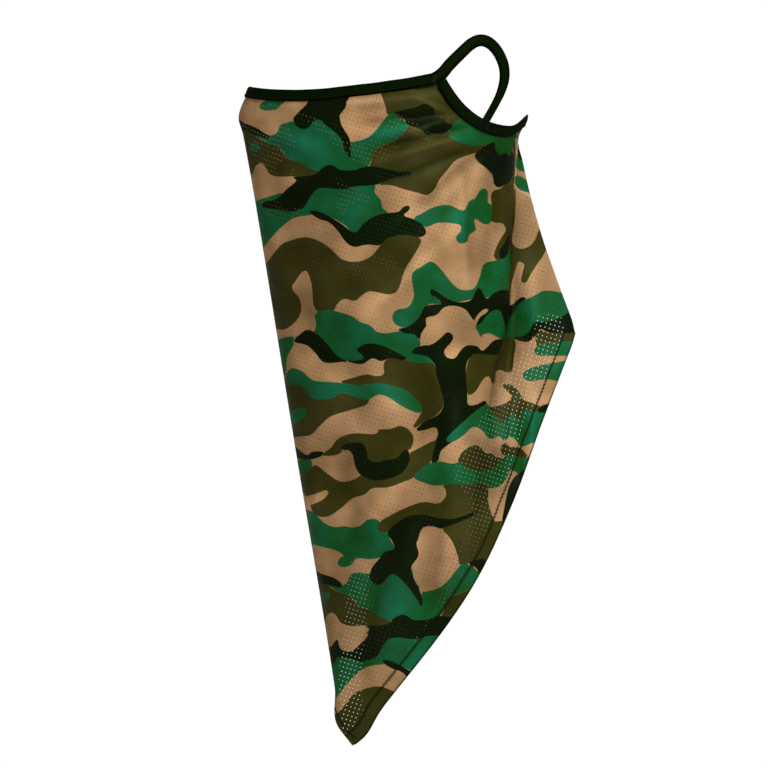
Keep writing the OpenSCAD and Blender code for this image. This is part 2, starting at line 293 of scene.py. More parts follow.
def blurred(values, passes=60):
    """The values of a grid, averaged with their neighbours."""
    for _ in range(passes):
        inner = values[:-2, 1:-1] + values[2:, 1:-1] + values[1:-1, :-2] + values[1:-1, 2:]
        values = values.copy()
        values[1:-1, 1:-1] = inner / 4
    return values


cloth, fold_height, cloth_y, cloth_z = make_grid()
hollows = np.clip(fold_height - blurred(fold_height), -1, 1)      # below 0 in the folds' valleys, where it paints shade, and above 0 on their ridges, where it paints light
cloth_normals = grid_normals(cloth)


class Edge:
    """Places by the cloth's top edge or hem.

    s is the length along the edge from the centre front, d the distance in from it and out the height
    over the cloth.
    """

    REACH = np.arange(0, 15.0)
    INWARD = 6                # the row whose direction counts as inward

    def __init__(self, points, normals):
        """Tables of places and normals at each whole millimetre in from each point of the edge."""
        base, step = points[0], np.diff(points, axis=0)
        run = np.concatenate([np.zeros((1, points.shape[1])), np.cumsum(np.linalg.norm(step, axis=2), 0)])
        tangent = unit(np.gradient(base, axis=0))
        column = unit(points[self.INWARD] - points[0])
        square = np.linalg.norm(np.cross(tangent, column), axis=1)
        s = lengths_along(base)
        self.s, self.length = s - s[COLS], s[-1]
        self.places = np.empty((len(self.REACH), len(s), 3))
        self.normals = np.empty_like(self.places)
        for i in range(len(s)):
            for axis in range(3):
                want = self.REACH / square[i]
                self.places[:, i, axis] = np.interp(want, run[:, i], points[:, i, axis])
                self.normals[:, i, axis] = np.interp(want, run[:, i], normals[:, i, axis])
        for table in (self.places, self.normals):
            self.soften_back(table)
        self.into = unit(self.places[3] - self.places[0])

    def soften_back(self, table, reach=14, passes=30):
        """Rounds the crease at the centre back, where the table's two ends meet."""
        for _ in range(passes):
            back = np.concatenate([table[:, -reach - 1:-1], table[:, :reach + 1]], axis=1)
            back[:, 1:-1] = (back[:, :-2] + back[:, 1:-1] + back[:, 2:]) / 3
            table[:, -reach - 1:-1], table[:, :reach + 1] = back[:, :reach], back[:, reach:]
            table[:, -1] = table[:, 0]

    def lookup(self, table, s, d):
        """The table's value at s and d."""
        k = np.clip(d, 0, self.REACH[-1] - 1e-6)
        low = np.floor(k).astype(int)
        wrapped = (s + self.length / 2) % self.length - self.length / 2
        at = np.interp(wrapped, self.s, np.arange(len(self.s)))
        i = np.minimum(at.astype(int), len(self.s) - 2)
        along, down = (at - i)[..., None], (k - low)[..., None]
        upper = mix(table[low, i], table[low, i + 1], along)
        return mix(upper, mix(table[low + 1, i], table[low + 1, i + 1], along), down)

    def at(self, s, d, out):
        """Points in millimetres. d below 0 is past the edge."""
        s, d, out = np.broadcast_arrays(*(np.asarray(a, float) for a in (s, d, out)))
        place, normal = self.lookup(self.places, s, d), unit(self.lookup(self.normals, s, d))
        into = unit(self.lookup(np.stack([self.into, self.into]), s, np.zeros_like(d)))
        return place + normal * out[..., None] + into * np.minimum(d, 0)[..., None]


top = Edge(cloth, cloth_normals)
hem = Edge(cloth[::-1], cloth_normals[::-1])


def place_of(share):
    """s on the wearer's left at a share of the way from the front to the back."""
    return top.s[int(round(COLS + math.degrees(math.acos(1 - 2 * share)) / 180 * COLS))]


S_JUNCTION = place_of(JUNCTION)
S_LOWER = place_of(LOWER_ROOT)


# ---------------------------------------------------------------- the camouflage print
# Blobs in the order they are printed: a colour, then y, z, y, z and so on of a smooth closed outline
# on the wearer's left.
REPEAT = (48.5, -301.5)       # the step from one repeat of the print to the next
SAND, GREEN, BROWN, BLACK = range(4)
CHEEK_BLACK = (5.7,-9.8, 15,-7.2, 22,-5.6, 26,-3.4, 30.6,-5, 33.4,-7.2, 34.4,-11.5, 38.7,-13.5, 42,-12.5,
               41,-16.3, 46,-17.8, 42.5,-22, 38,-24.5, 34.4,-23.5, 28.6,-24.5, 24,-21, 19,-18.7, 15.7,-17.8,
               13,-13.5, 9.5,-11)
BLOBS = [
    (GREEN, -87,-24, -80,-25, -74,-24, -71,-18, -66,-16.5, -58,-17, -48,-10, -30,-14, -22,-28, -12,-27,
     -5,-21, 3,-11, 8,-10, 13,-12, 16,-18, 14,-23, 6,-28.5, -5,-33, -8.5,-40, -12,-46, -24,-52, -46,-52,
     -55,-44, -65,-39.5, -70,-33, -79,-29),
    (BROWN, -104,-28, -94,-22, -88,-23, -84,-27, -78,-30, -71,-33, -66,-39, -58,-42.5, -50,-47, -42,-50,
     -50,-54, -60,-52, -72,-52, -77.5,-50, -80,-46, -83,-43, -87,-45, -89,-50, -96,-52, -106,-40),
    (GREEN, -90,-30, -86,-29, -84,-33, -88,-36, -91,-34),
    (BROWN, 0,12, 1,2, 2,-3, 5,-9, 13,-15, 16,-19, 8,-28, -4,-33, -8,-38, -9,-44, -12,-47, -8,-57, 4,-58,
     14,-61, 22,-63, 29,-64.5, 34,-60, 37,-54, 42,-48, 47,-42, 54,-38.5, 62,-36, 76,-32, 86,-28, 84,-18,
     60,-2, 40,18),
    (BLACK, *CHEEK_BLACK),
    (GREEN, 50,-14, 55,-12, 60,-18, 70,-22, 88,-24, 92,-30, 85,-32, 82,-37, 76,-38.5, 72,-35, 68,-31, 60,-32,
     52,-30, 46,-28, 43,-24, 46,-17),
    (BLACK, 61,-37, 66,-32.5, 73,-29, 73.6,-33.5, 76,-37.8, 79.5,-36.2, 82.2,-37.6, 84,-34, 84.8,-40,
     84.4,-51, 82.6,-56, 80,-57.5, 76,-59.5, 73,-57, 72,-51, 68,-47, 63,-43, 61,-40),
    (BLACK, -104,-9, -98,-13.5, -90,-17, -82,-20, -77,-24, -78,-26.5, -84,-25, -90,-23.5, -96,-22, -106,-20),
    (GREEN, -98,-66, -90,-70, -78,-66, -45,-57, -9,-56, -7,-63, -3,-68, -1.5,-74, 2,-77, -8,-80, -14,-86,
     -20,-91, -27,-84, -40,-78, -52,-78, -60,-79.5, -66,-83, -72,-89, -80,-99, -88,-110, -100,-104),
    (BLACK, -62,-52.5, -54,-52, -46,-50.5, -41,-46, -35,-44.5, -29,-48, -20,-48, -12,-45.5, 0,-47, 9,-49,
     18,-49.5, 17,-51.5, 6,-53.5, -6,-58, -20,-59, -28,-61, -43,-60, -49,-65, -54,-73, -63,-76, -72,-74,
     -80,-73, -80,-69, -72,-67, -66,-61, -59,-55),
    (BLACK, -50,-75, -43,-76, -36,-79.5, -28,-84.5, -20,-90, -14,-84, -8,-79.5, 0,-77, 9,-76, 13,-72.5,
     17,-72, 16,-75.5, 13,-78.5, 20,-81, 25,-84, 28,-90, 24,-93, 14,-93, 0,-97, -4,-98.5, -12,-98, -20,-99.5,
     -26,-96, -31,-89, -37,-83, -43,-81, -48,-78),
    (BROWN, -96,-118, -80,-111, -70,-99, -64,-95.5, -53,-93, -43,-96, -36,-101, -28,-108, -18,-109.5,
     -9,-106, -3,-99, 2,-94, 12,-91.5, 24,-94, 22,-101, 14,-114, 9,-128, 3,-131, -9,-129, -14,-131,
     -20,-135.5, -27,-134, -32,-138, -35,-143, -44,-143, -48,-138, -49,-125, -52,-116, -56,-116.5, -60,-122,
     -62.5,-127, -58,-134, -56.5,-141, -59,-148, -66,-154, -73,-154, -88,-148),
    (GREEN, 20,-80.5, 26,-77, 31,-74, 38,-72, 44,-72, 50,-75, 54,-74.5, 57,-69, 61,-67, 64,-62, 67,-60.5,
     69,-63, 69,-70, 72,-72, 71,-82, 67,-84, 62,-80.5, 60,-82, 61,-88, 57,-91, 55,-96, 50,-96.5, 48,-93,
     51,-89, 51,-85, 46,-83.5, 36,-83, 28,-86, 25,-84),
    (BROWN, 73,-62, 77,-60.3, 79.5,-58, 82.5,-55.5, 84.2,-50, 84.8,-40, 84.8,-31, 86,-29, 86.6,-38, 86.6,-50,
     88,-62, 87.5,-80, 86,-96, 91,-100.5, 97,-99, 101,-95, 105,-87, 109,-97, 107,-104, 103,-110, 99,-116,
     95,-123, 92,-122, 93,-116, 94,-111, 90,-109, 88,-114, 86,-122, 85,-135, 83,-128, 82,-110, 76,-109,
     73,-106, 74,-101, 77,-94, 80,-88, 78,-83.5, 74,-83, 71,-81, 72,-74, 71.5,-66),
    (GREEN, 88,-36, 96,-46, 97,-49, 90,-47, 87,-42),
    (GREEN, 88,-52, 93,-53, 99,-58, 99,-62, 92,-61, 88,-57),
    (BLACK, 89.6,-27, 91.5,-30, 95,-38, 92,-41, 90,-39, 89.2,-33),
    (SAND, 86.6,-27, 89.8,-26.5, 89,-38, 87.9,-52, 87.5,-60, 86.9,-60, 86.9,-52, 86.7,-45, 85.8,-34),
    (BLACK, 82,-91, 84,-97, 83,-103, 80,-107.5, 76.5,-107, 76,-102, 79,-97),
    (GREEN, -44,-142.5, -38,-141.5, -34,-142.5, -22,-146, -16,-150, -10,-152, -5,-156.5, 2,-157.5, 12,-156,
     20,-158, 24,-164, 22,-171, 30,-173, 33,-178, 20,-178, 5,-174, -15,-175, -30,-175, -58,-160, -62,-166,
     -66,-174, -67,-184, -80,-190, -88,-172, -72,-162, -60,-159, -48,-156, -46,-151, -47,-146),
    (GREEN, 19,-117, 25,-113, 31,-109.5, 37,-114, 46,-125, 52,-128.5, 60,-127.5, 64,-120, 67,-111, 75,-108.5,
     79,-106.5, 81,-103, 82,-99.5, 83.6,-99, 84.6,-104, 84.8,-120, 84,-150, 82,-162, 70,-157, 64,-158,
     60,-152, 66,-148, 70,-142, 84,-135, 70,-133, 60,-134, 50,-136, 38,-137.5, 29,-138, 24,-146, 16,-153,
     9,-152, 5.5,-147.5, 8,-142, 16,-140, 20,-133, 19,-124),
    (GREEN, 84,-146, 90,-137, 97,-134, 103,-131, 107,-129, 118,-130, 132,-136, 134,-148, 120,-149,
     108,-149.5, 100,-152, 96,-158, 90,-160, 84,-162),
    (BROWN, -29,-190, -20,-187, -12,-185, -5,-186, 0,-184.5, 0,-177, 6,-173, 20,-177, 33,-178, 35,-188,
     38,-196, 40,-204, 36,-211, 28,-216, 19,-221, 24,-212, 25,-207, 17,-197.5, 6,-192.5, -8,-191, -18,-192),
    (BROWN, 57,-173.5, 62,-171, 74,-172, 81,-169, 83.5,-160, 88,-163, 87,-172, 86,-180.5, 84.5,-183.5,
     80.5,-181.5, 76,-184, 76.5,-188, 75,-191, 72.5,-190, 70,-186, 67,-187, 64,-191, 61,-196, 56,-198,
     54.5,-185),
    (GREEN, -66,-186, -62,-181, -55,-183, -48,-189, -38,-190, -24,-191, -14,-192, -4,-190.5, 7,-192.5,
     17,-197, 25,-206, 23,-210.5, 12,-206, 4,-200.5, -4,-198, -13,-202, -27,-197.5, -38,-201.5, -48,-202,
     -56,-194, -66,-193),
    (BROWN, -84,-196, -66,-192, -56,-193, -48,-201, -36,-201, -27,-197.5, -13,-202, -10,-201, -12,-205,
     -24,-209, -36,-213, -44,-220, -50,-225.5, -60,-227, -80,-234),
    (GREEN, -62,-210, -56,-207, -52,-208, -53,-213, -58,-217, -64,-217),
    (BLACK, 8.5,-154, 14,-153.5, 20,-150, 24,-145, 27,-139.5, 33,-138, 38.5,-137.5, 35,-133.5, 31,-131.5,
     31,-127.5, 36,-130, 42,-134, 50,-136.5, 58,-135, 61,-129, 64,-127, 68,-134, 73,-130, 79,-128, 84,-131,
     85,-140, 82,-158, 79,-150, 76,-142, 70,-143.5, 62,-152, 55,-142, 47,-139, 40,-140, 35,-145, 28,-147,
     29,-151, 25,-157, 24,-163, 20,-158, 14,-157.5),
    (BLACK, 18,-170.5, 21,-167, 30,-164, 45,-155, 62,-155, 68,-165, 74,-161.5, 82,-162, 80,-169, 74,-172,
     62,-171, 57,-173.5, 54.5,-181, 55.5,-197, 56,-205, 62,-205, 67,-202.5, 69.5,-205, 60,-211, 51,-218,
     42,-228, 50,-226, 44,-231, 38,-236, 36,-243, 33,-245.5, 31,-241, 33,-232, 36,-225, 34,-220.5, 26,-222.5,
     21,-222, 28,-216, 36,-212, 40,-205, 38,-196, 35,-187, 34,-179, 29,-173, 22,-171.5),
    (SAND, 28,-147, 34,-146, 40,-140, 47,-139, 54,-142, 60,-149, 62,-155, 65,-160, 70,-157, 73,-160, 69,-166,
     65,-169, 62,-166, 55,-165.5, 50,-170, 47,-174, 42,-173.5, 40,-169, 45,-163, 46,-159, 42,-156.5, 37,-161,
     31,-165, 25,-164.5, 24.5,-158, 28,-153),
    (SAND, 60,-150, 62,-145.5, 66,-141.5, 69,-141, 68,-143.5, 64,-146.5, 61,-152),
    (BLACK, -61,-163, -57,-158, -52,-155, -46,-157.5, -39,-164, -31,-173, -22,-175.5, -14,-174.5, -15,-171.5,
     -18.5,-169, -16,-166, -10,-164, 0,-166, 9,-170.5, 15,-174, 13,-175.5, 4,-174, -2,-176, -8,-174,
     -15,-178, -26,-176.5, -40,-177, -46,-171, -52,-165.5),
    (BLACK, 84,-141, 88,-136, 92,-133, 95,-134, 90,-138, 86,-145, 83,-150),
    (BROWN, 104,-155, 112,-157, 132,-154, 134,-163, 118,-163.5, 108,-163.5, 103,-166, 101.5,-160),
    (BLACK, 87,-160, 94,-158.5, 98,-155, 101,-150, 112,-149, 119,-146, 126,-143, 134,-148, 132,-156,
     112,-157, 105,-154.5, 101,-159.5, 96,-163, 90,-162),
    (GREEN, 101,-168, 105,-165, 113,-163.5, 134,-162.5, 132,-171, 112,-172, 103,-171.5),
    (GREEN, 93,-185, 98,-181, 105,-179, 113,-177.5, 130,-176, 126,-190, 110,-188, 97,-189),
    (BROWN, 81,-192, 84,-191.5, 88,-194, 91,-198, 93,-202, 98,-204, 104,-206, 108,-205, 108,-213, 100,-213,
     90,-217, 80,-220, 74,-214, 71,-210, 70,-206.5, 76,-206.5, 82,-204, 85.5,-200, 83,-196),
    (BLACK, 104,-207, 114,-204, 112,-213, 103,-213),
    (GREEN, 69,-205, 72,-208.5, 75.5,-211.5, 79.5,-217.4, 82.5,-213, 85.5,-210.3, 89.5,-214.5, 91.5,-210,
     94,-208.8, 104,-210.5, 114,-212, 106,-228, 98,-231, 92,-233, 88,-228.5, 83,-226.5, 80,-229, 77,-226,
     73,-228, 70,-226.5, 66,-222, 62,-220, 58,-220.5, 53,-225, 47,-229, 42,-230, 42,-227, 50,-219,
     60,-210.5),
    (BROWN, 49,-243, 52,-237, 57,-233.5, 62,-232.5, 66,-235, 69,-238, 73,-238, 75,-240.5, 78,-241, 77,-245,
     73,-249, 68,-249.5, 60,-249.5, 54,-246.5),
    (BROWN, 78,-235, 80,-231, 84,-234, 88,-233.5, 93,-236, 97,-242, 88,-239.5, 80,-239),
    (BLACK, -76,-226, -62,-231, -57,-236, -52,-239, -49,-237, -44,-236.5, -40,-237.5, -44,-240.5, -50,-242,
     -56,-242, -62,-240, -76,-238),
    (GREEN, -74,-240, -56,-242.5, -50,-242, -49,-247, -53,-251, -60,-253, -74,-250),
    (BROWN, -42,-239, -36,-234, -31,-228, -21,-224.5, -6,-225, -4,-222, 4,-221.5, 11,-219.5, 17,-223,
     19.5,-229, 17,-237, 25,-233.5, 34,-229.5, 33,-236, 30,-245, 20,-253.5, 12,-257, 2,-260.5, -8,-261,
     -14,-265.5, -22,-268, -30,-275, -38,-280, -46,-279, -49,-272, -51,-268, -56,-262, -57,-255, -50,-249,
     -46,-246, -38,-252, -30,-257, -22,-256, -16,-252, -18,-245, -21,-239, -26,-235.5, -33,-239),
    (SAND, -52,-267, -46,-265, -40,-262.5, -37.5,-263.5, -40,-268, -46,-271.5, -51,-272),
    (BLACK, -31,-235, -26,-231.5, -19,-230.5, -15,-231, -12,-235, -11,-241, -8,-243.5, -3,-243.5, 1,-242,
     7,-241.5, 11,-238, 14,-235, 16,-236, 17,-241, 15,-247, 10,-252, 2,-255, -6,-256, -12,-254.5, -17,-251.5,
     -20,-246, -21.5,-239, -24,-236, -27,-235.5),
    (GREEN, 20,-254, 23,-249, 30,-245, 37,-243.5, 45,-245, 50,-244, 55,-247, 62,-249, 72,-249, 78,-242,
     84,-239, 93,-241, 102,-242, 98,-252, 92,-253, 88,-250, 84,-248.5, 82,-254, 78,-259, 73,-261, 66,-260,
     56,-259, 45,-258.5, 33,-259, 26,-257),
    (BLACK, 99,-248, 89,-252, 84,-259, 82,-266, 80,-276, 79,-284, 86,-286, 94,-268),
    (BROWN, 40,-259, 56,-258.5, 69,-259.5, 70,-271, 73,-282, 78,-289.5, 88,-286, 80,-304, 70,-312, 62,-303,
     55,-308, 50,-312, 30,-300, 0,-292, -5,-290, -3,-284, 3,-280, 14,-274.5, 26,-270.5, 36,-271.5, 41,-267,
     41,-262),
    (GREEN, -44,-281, -40,-285, -34,-287.5, -27,-287, -22,-288, -16,-286.5, -12,-283, -7,-282, -3.5,-284,
     -4,-290, 1,-291, 4,-296, 7,-301.5, 0,-304, -2,-307, -10,-308.5, -19,-308, -22,-312, -27,-314,
     -31,-312.5, -30,-308.5, -27,-306.5, -32,-303, -42,-300, -48,-299, -56,-303, -66,-290, -60,-276,
     -48,-277),
    (BLACK, 2,-291, 8,-284.5, 17,-279.5, 27,-279, 38,-281.5, 48,-281, 62,-276.5, 58,-280.5, 44,-286, 34,-290,
     22,-296, 23,-306, 18,-314, 20,-322, 23,-328, 26,-338, 25,-341.5, 20,-333, 14,-325, 9,-320, 5,-318.5,
     2,-321, -2,-325.5, -6,-326, -10,-321, -8,-314, -3,-308, 0,-304, 7,-301.5, 5,-296),
    (SAND, 23,-300, 23,-294, 25,-288.5, 29,-286.5, 35,-287.5, 40,-290, 45,-296, 48,-303, 50,-311, 47,-316,
     43,-321, 38,-326, 32,-329.5, 26,-331, 23,-327, 20,-321, 18.5,-315, 21,-310, 24,-305),
]
# These lie over the rest of the print and aren't repeated.
LONE_BLOBS = [
    (BLACK, *CHEEK_BLACK),
    (SAND, -92,13.7, -70,13.7, -50,12.7, -51.3,-1.7, -58.5,-9.6, -61.3,-13.5, -61.3,-15.8, -65.2,-16.3,
     -70,-18.2, -72,-23, -77.6,-24.5, -85.3,-20.1, -91,-17.3, -96,-14.9, -101,-1.3),
    (GREEN, -61.3,-15.8, -57.5,-17.3, -53,-18.3, -48,-14.3, -44,-12.8, -38,-17.3, -30,-21.3, -27,-31.3,
     -25,-39.3, -40,-42.3, -56,-31.3, -66,-26.3, -70.5,-20.3, -65.2,-16.3),
    (BLACK, -51,10.7, -22,10.7, -26.9,-5.8, -29.9,-10.6, -29.3,-16.3, -26.9,-21.1, -24,-25.9, -22.8,-30.7,
     -23.3,-38.9, -26.9,-34.5, -28.3,-28.7, -31.7,-24, -36.4,-20.2, -40.3,-17.3, -42.2,-14.9, -46,-13.9,
     -48.4,-16.3, -50.8,-19.2, -53.7,-20.6, -57.5,-19.7, -60.4,-16.8, -61.3,-13.5, -58.5,-9.6, -51.3,-1.9),
    (GREEN, -83.8,-5.3, -82.9,-3.4, -80.5,-1.7, -76.7,-0.3, -67.1,-0.9, -70,-4.3, -72.8,-6.8, -77.6,-7.5,
     -81.9,-7),
    (SAND, -29,-362, -21.7,-361.5, -11,-359.5, -21.7,-371, -27.1,-371, -30,-369),
    (BLACK, -38,-369, -35.8,-367.5, -31.8,-362.8, -30.2,-368.2, -27.1,-370.5, -21.7,-370.5, -15,-364.5,
     -8.3,-359.5, -4.3,-362.8, -13,-377.5, -23,-375.5, -27.7,-374.7, -29.1,-372.9, -31.8,-374.6, -33.8,-379,
     -38,-377),
    (BROWN, -24,-434, -10,-412, 0,-399, 9,-404, -2,-426, -16,-440),
]
FAR_PAIR = np.array([-200.0, -423.0])      # the far side has the same print turned upside down
FAR_OUT = 12.0                # a field's value far from every blob
MARGIN = 8                    # how far round a blob its fields are drawn
FRONT_STRIP = 88              # how far past the front fold the loosely drawn print reaches
FRONT_PRINT = ((91, 0.45), (92, 0.5), (93, 0.95))      # its seed and threshold for each colour
LARGE_BLOB, SMALL_BLOB = 46, 17
HOLE_DRIFT = (0.75, -1.8)     # how far the far side's holes sit off the near side's where the cloth is pulled


def outline_distance(outline, y, z):
    """How far each place is from the outline, below 0 inside it."""
    a, b = outline, np.roll(outline, -1, axis=0)
    best, crossings = np.full(y.shape, 1e9), np.zeros(y.shape, int)
    for (ya, za), (yb, zb) in zip(a, b):
        dy, dz = yb - ya, zb - za
        t = np.clip(((y - ya) * dy + (z - za) * dz) / (dy * dy + dz * dz + 1e-12), 0, 1)
        best = np.minimum(best, (y - ya - t * dy) ** 2 + (z - za - t * dz) ** 2)
        over = (za > z) != (zb > z)
        crossings += over & (y < ya + (z - za) * dy / (dz if dz else 1e-12))
    return np.sqrt(best) * np.where(crossings % 2, -1, 1)


def print_blob(fields, y, z, colour, outline):
    """Prints one blob over what the fields have."""
    (y0, z0), (y1, z1) = outline.min(0) - MARGIN, outline.max(0) + MARGIN
    near = (y > y0) & (y < y1) & (z > z0) & (z < z1)
    if not near.any():
        return
    d = outline_distance(outline, y[near], z[near])
    for c in (GREEN, BROWN, BLACK):
        old = fields[c][near]
        fields[c][near] = np.minimum(old, d) if c == colour else np.maximum(old, -d)


def print_fields(y, z):
    """For each place, how far it is inside (below 0) or outside the green, the brown and the black."""
    fields = np.full((4,) + y.shape, FAR_OUT)
    for colour, *places in BLOBS:
        outline = closed_outline(places)
        for shape in (outline, FAR_PAIR - outline):
            for k in (-2, -1, 0, 1, 2):
                print_blob(fields, y, z, colour, shape + np.multiply(REPEAT, k))
    for colour, *places in LONE_BLOBS:
        print_blob(fields, y, z, colour, closed_outline(places))
    return fields[1:]


def front_fields(past, z):
    """More of the print, loosely drawn, in the strip that lies past the front fold."""
    near = ramp(-past, 4, 10) * ramp(past, -FRONT_STRIP, 12)
    fields = []
    for seed, threshold in FRONT_PRINT:
        blobs = noise(past * 0.55 - z * 0.12, z, LARGE_BLOB, seed)
        blobs = blobs + 0.35 * noise(past * 0.7, z, SMALL_BLOB, seed + 5)
        fields.append(mix(FAR_OUT, (threshold - blobs) * 9, near))
    return np.array(fields)


def girth_table(places=240):
    """Length round the cloth from the front line, at steps that crowd towards the front and the back."""
    z = np.linspace(-436, 28, 160)
    share = np.linspace(0, 1, places)
    front, rear = profile(FRONT_LINE, z)[:, None], profile(REAR_LINE, z)[:, None]
    y = mix(front, rear, (1 - np.cos(share * math.pi))[None, :] / 2)
    x = half_depth(y, np.broadcast_to(z[:, None], y.shape))
    step = np.hypot(np.diff(x, axis=1), np.diff(y, axis=1))
    return z, np.concatenate([np.zeros((len(z), 1)), np.cumsum(step, axis=1)], axis=1)


GIRTH_Z, GIRTH = girth_table()


def round_from_front(y, z):
    """Length round the cloth from the front line to a place seen from the side."""
    front, rear = profile(FRONT_LINE, z), profile(REAR_LINE, z)
    turn = np.arccos(1 - 2 * np.clip((y - front) / (rear - front), 0, 1))
    column = turn / math.pi * (GIRTH.shape[1] - 1)
    row = np.clip(np.interp(z, GIRTH_Z, np.arange(len(GIRTH_Z))), 0, len(GIRTH_Z) - 1.001)
    i, j = row.astype(int), np.minimum(column.astype(int), GIRTH.shape[1] - 2)
    upper = mix(GIRTH[i, j], GIRTH[i, j + 1], column - j)
    return mix(upper, mix(GIRTH[i + 1, j], GIRTH[i + 1, j + 1], column - j), row - i)


# ---------------------------------------------------------------- meshes
def grid_faces(rows, columns, ring=False, capped=False):
    """Quads of a grid, and with ring its columns close into a tube."""
    across = np.arange(columns if ring else columns - 1)
    i, j = np.meshgrid(np.arange(rows - 1), across, indexing="ij")
    k = (j + 1) % columns
    quads = np.stack([i * columns + j, (i + 1) * columns + j, (i + 1) * columns + k, i * columns + k], -1)
    faces = quads.reshape(-1, 4).tolist()
    if capped:
        faces += [list(range(columns)), list(range((rows - 1) * columns, rows * columns))]
    return faces


def new_piece(name, points, faces, solid=True):
    """A smooth mesh object from points in millimetres."""
    mesh = bpy.data.meshes.new(name)
    mesh.from_pydata((points.reshape(-1, 3) * MM).tolist(), [], faces)
    if solid:
        work = bmesh.new()
        work.from_mesh(mesh)
        bmesh.ops.recalc_face_normals(work, faces=work.faces)
        work.to_mesh(mesh)
        work.free()
    mesh.shade_smooth()
    piece = bpy.data.objects.new(name, mesh)
    bpy.context.scene.collection.objects.link(piece)
    return piece


def set_values(piece, name, values):
    """Stores one number or one vector at each vertex."""
    vectors = values.ndim > 1 and values.shape[-1] == 3
    kind, key = ("FLOAT_VECTOR", "vector") if vectors else ("FLOAT", "value")
    store = piece.data.attributes.new(name, kind, "POINT")
    store.data.foreach_set(key, values.astype(np.float32).ravel())


def set_weave(piece, *axes):
    """Stores two lengths along the cloth or the thread, which the material's pattern follows."""
    axes = np.broadcast_arrays(*axes, 0.0)[:3]
    set_values(piece, "weave", np.stack([np.asarray(a, float).ravel() for a in axes], -1))


# The bands in which the two sides' holes line up, so that the light behind shows through.
FRONT_BAND = [(-430, -20), (-390, -23), (-345, -19), (-300, -15)]    # (Z, Y) of its middle
FRONT_BAND_HALF, FRONT_BAND_TOP = 11.5, 290
HEM_BAND = [(-390, 14), (-370, 20), (-310, 27), (-275, 34), (-250, 54), (-200, 45), (-140, 30)]
HEM_BAND_GAP, HEM_BAND_TOP, HEM_BAND_END = 3, 134, -392
BAND_FADE = 5
BLIND = 0.3                   # closes the holes fully where they fade out


def lined_up(y, z):
    """1 where the two sides' holes line up, in a band by the front fold and one by the hem, else 0."""
    beside = np.abs(y - profile(FRONT_BAND, z))
    by_fold = ramp(FRONT_BAND_HALF - beside, 0, BAND_FADE) * ramp(-z, FRONT_BAND_TOP, 24)
    hem_y, hem_z = np.array(HEM_EDGE, float).T
    edge = np.where(z < hem_z[-1], np.interp(z, hem_z, hem_y), profile(REAR_LINE, z))
    reach = profile(HEM_BAND, z)
    by_hem = ramp(edge - y, HEM_BAND_GAP, BAND_FADE) * ramp(reach - edge + y, 0, 9)
    by_hem = by_hem * ramp(-z, HEM_BAND_TOP, 14) * ramp(z, HEM_BAND_END, 30)
    return np.maximum(by_fold, by_hem)


def set_print(piece, points, side, shade=1.0, holes=0.0, smooth_places=None):
    """The camouflage and the mesh's own directions at each point of one side.

    smooth_places are the (Y, Z) places that the points had before the folds moved them.
    """
    shape = points.shape[:-1]
    seen_y, seen_z = points[..., 1].ravel(), points[..., 2].ravel()
    y, z = (a.ravel() for a in smooth_places) if smooth_places else (seen_y, seen_z)
    front = profile(FRONT_LINE, z)
    place = y if side > 0 else front - round_from_front(y, z)
    fields = print_fields(place, z)
    if side < 0:
        fields = np.minimum(fields, front_fields(place - front, z))
    for name, field in zip(("green", "brown", "black"), fields):
        set_values(piece, name, field)
    matched = lined_up(y, z)
    y, z = mix(y, seen_y, matched), mix(z, seen_z, matched)
    drift = 0 if side > 0 else 1 - matched
    across = profile(FRONT_LINE, z) + round_from_front(y, z)
    set_weave(piece, across + drift * HOLE_DRIFT[0], z + drift * HOLE_DRIFT[1])
    set_values(piece, "shade", np.broadcast_to(shade, shape).ravel())
    radius = mix(HOLE_RADIUS, WIDE_HOLE, matched) + BLIND
    set_values(piece, "holes", radius * np.broadcast_to(holes, shape).ravel() - BLIND)


OFF_AXIS = np.array([0.31, 0.17, 0.93])    # a direction that no thread runs in


def tube(name, path, radius, sides=6, squeeze=1.0):
    """A round thread or cord along a path."""
    along = unit(np.gradient(path, axis=0))
    side = unit(np.cross(along, np.roll(along, 7, axis=0) + OFF_AXIS))
    up = np.cross(side, along)
    turn = np.linspace(0, math.tau, sides, endpoint=False)
    rings = (path[:, None] + side[:, None] * np.cos(turn)[None, :, None] * radius
             + up[:, None] * np.sin(turn)[None, :, None] * radius * squeeze)
    piece = new_piece(name, rings, grid_faces(len(path), sides, ring=True, capped=True))
    set_weave(piece, np.repeat(lengths_along(path), sides), np.tile(turn, len(path)))
    return piece


# ---------------------------------------------------------------- materials
def linear(red, green, blue):
    """A colour given as 0 to 255 on a screen, as the shader wants it."""
    shares = [c / 255 for c in (red, green, blue)]
    return [*(((c + 0.055) / 1.055) ** 2.4 if c > 10 / 255 else c / 12.92 for c in shares), 1]


SOCKETS = {"sheen_weight": "Sheen Weight", "sheen_roughness": "Sheen Roughness",
           "specular_ior_level": "Specular IOR Level"}


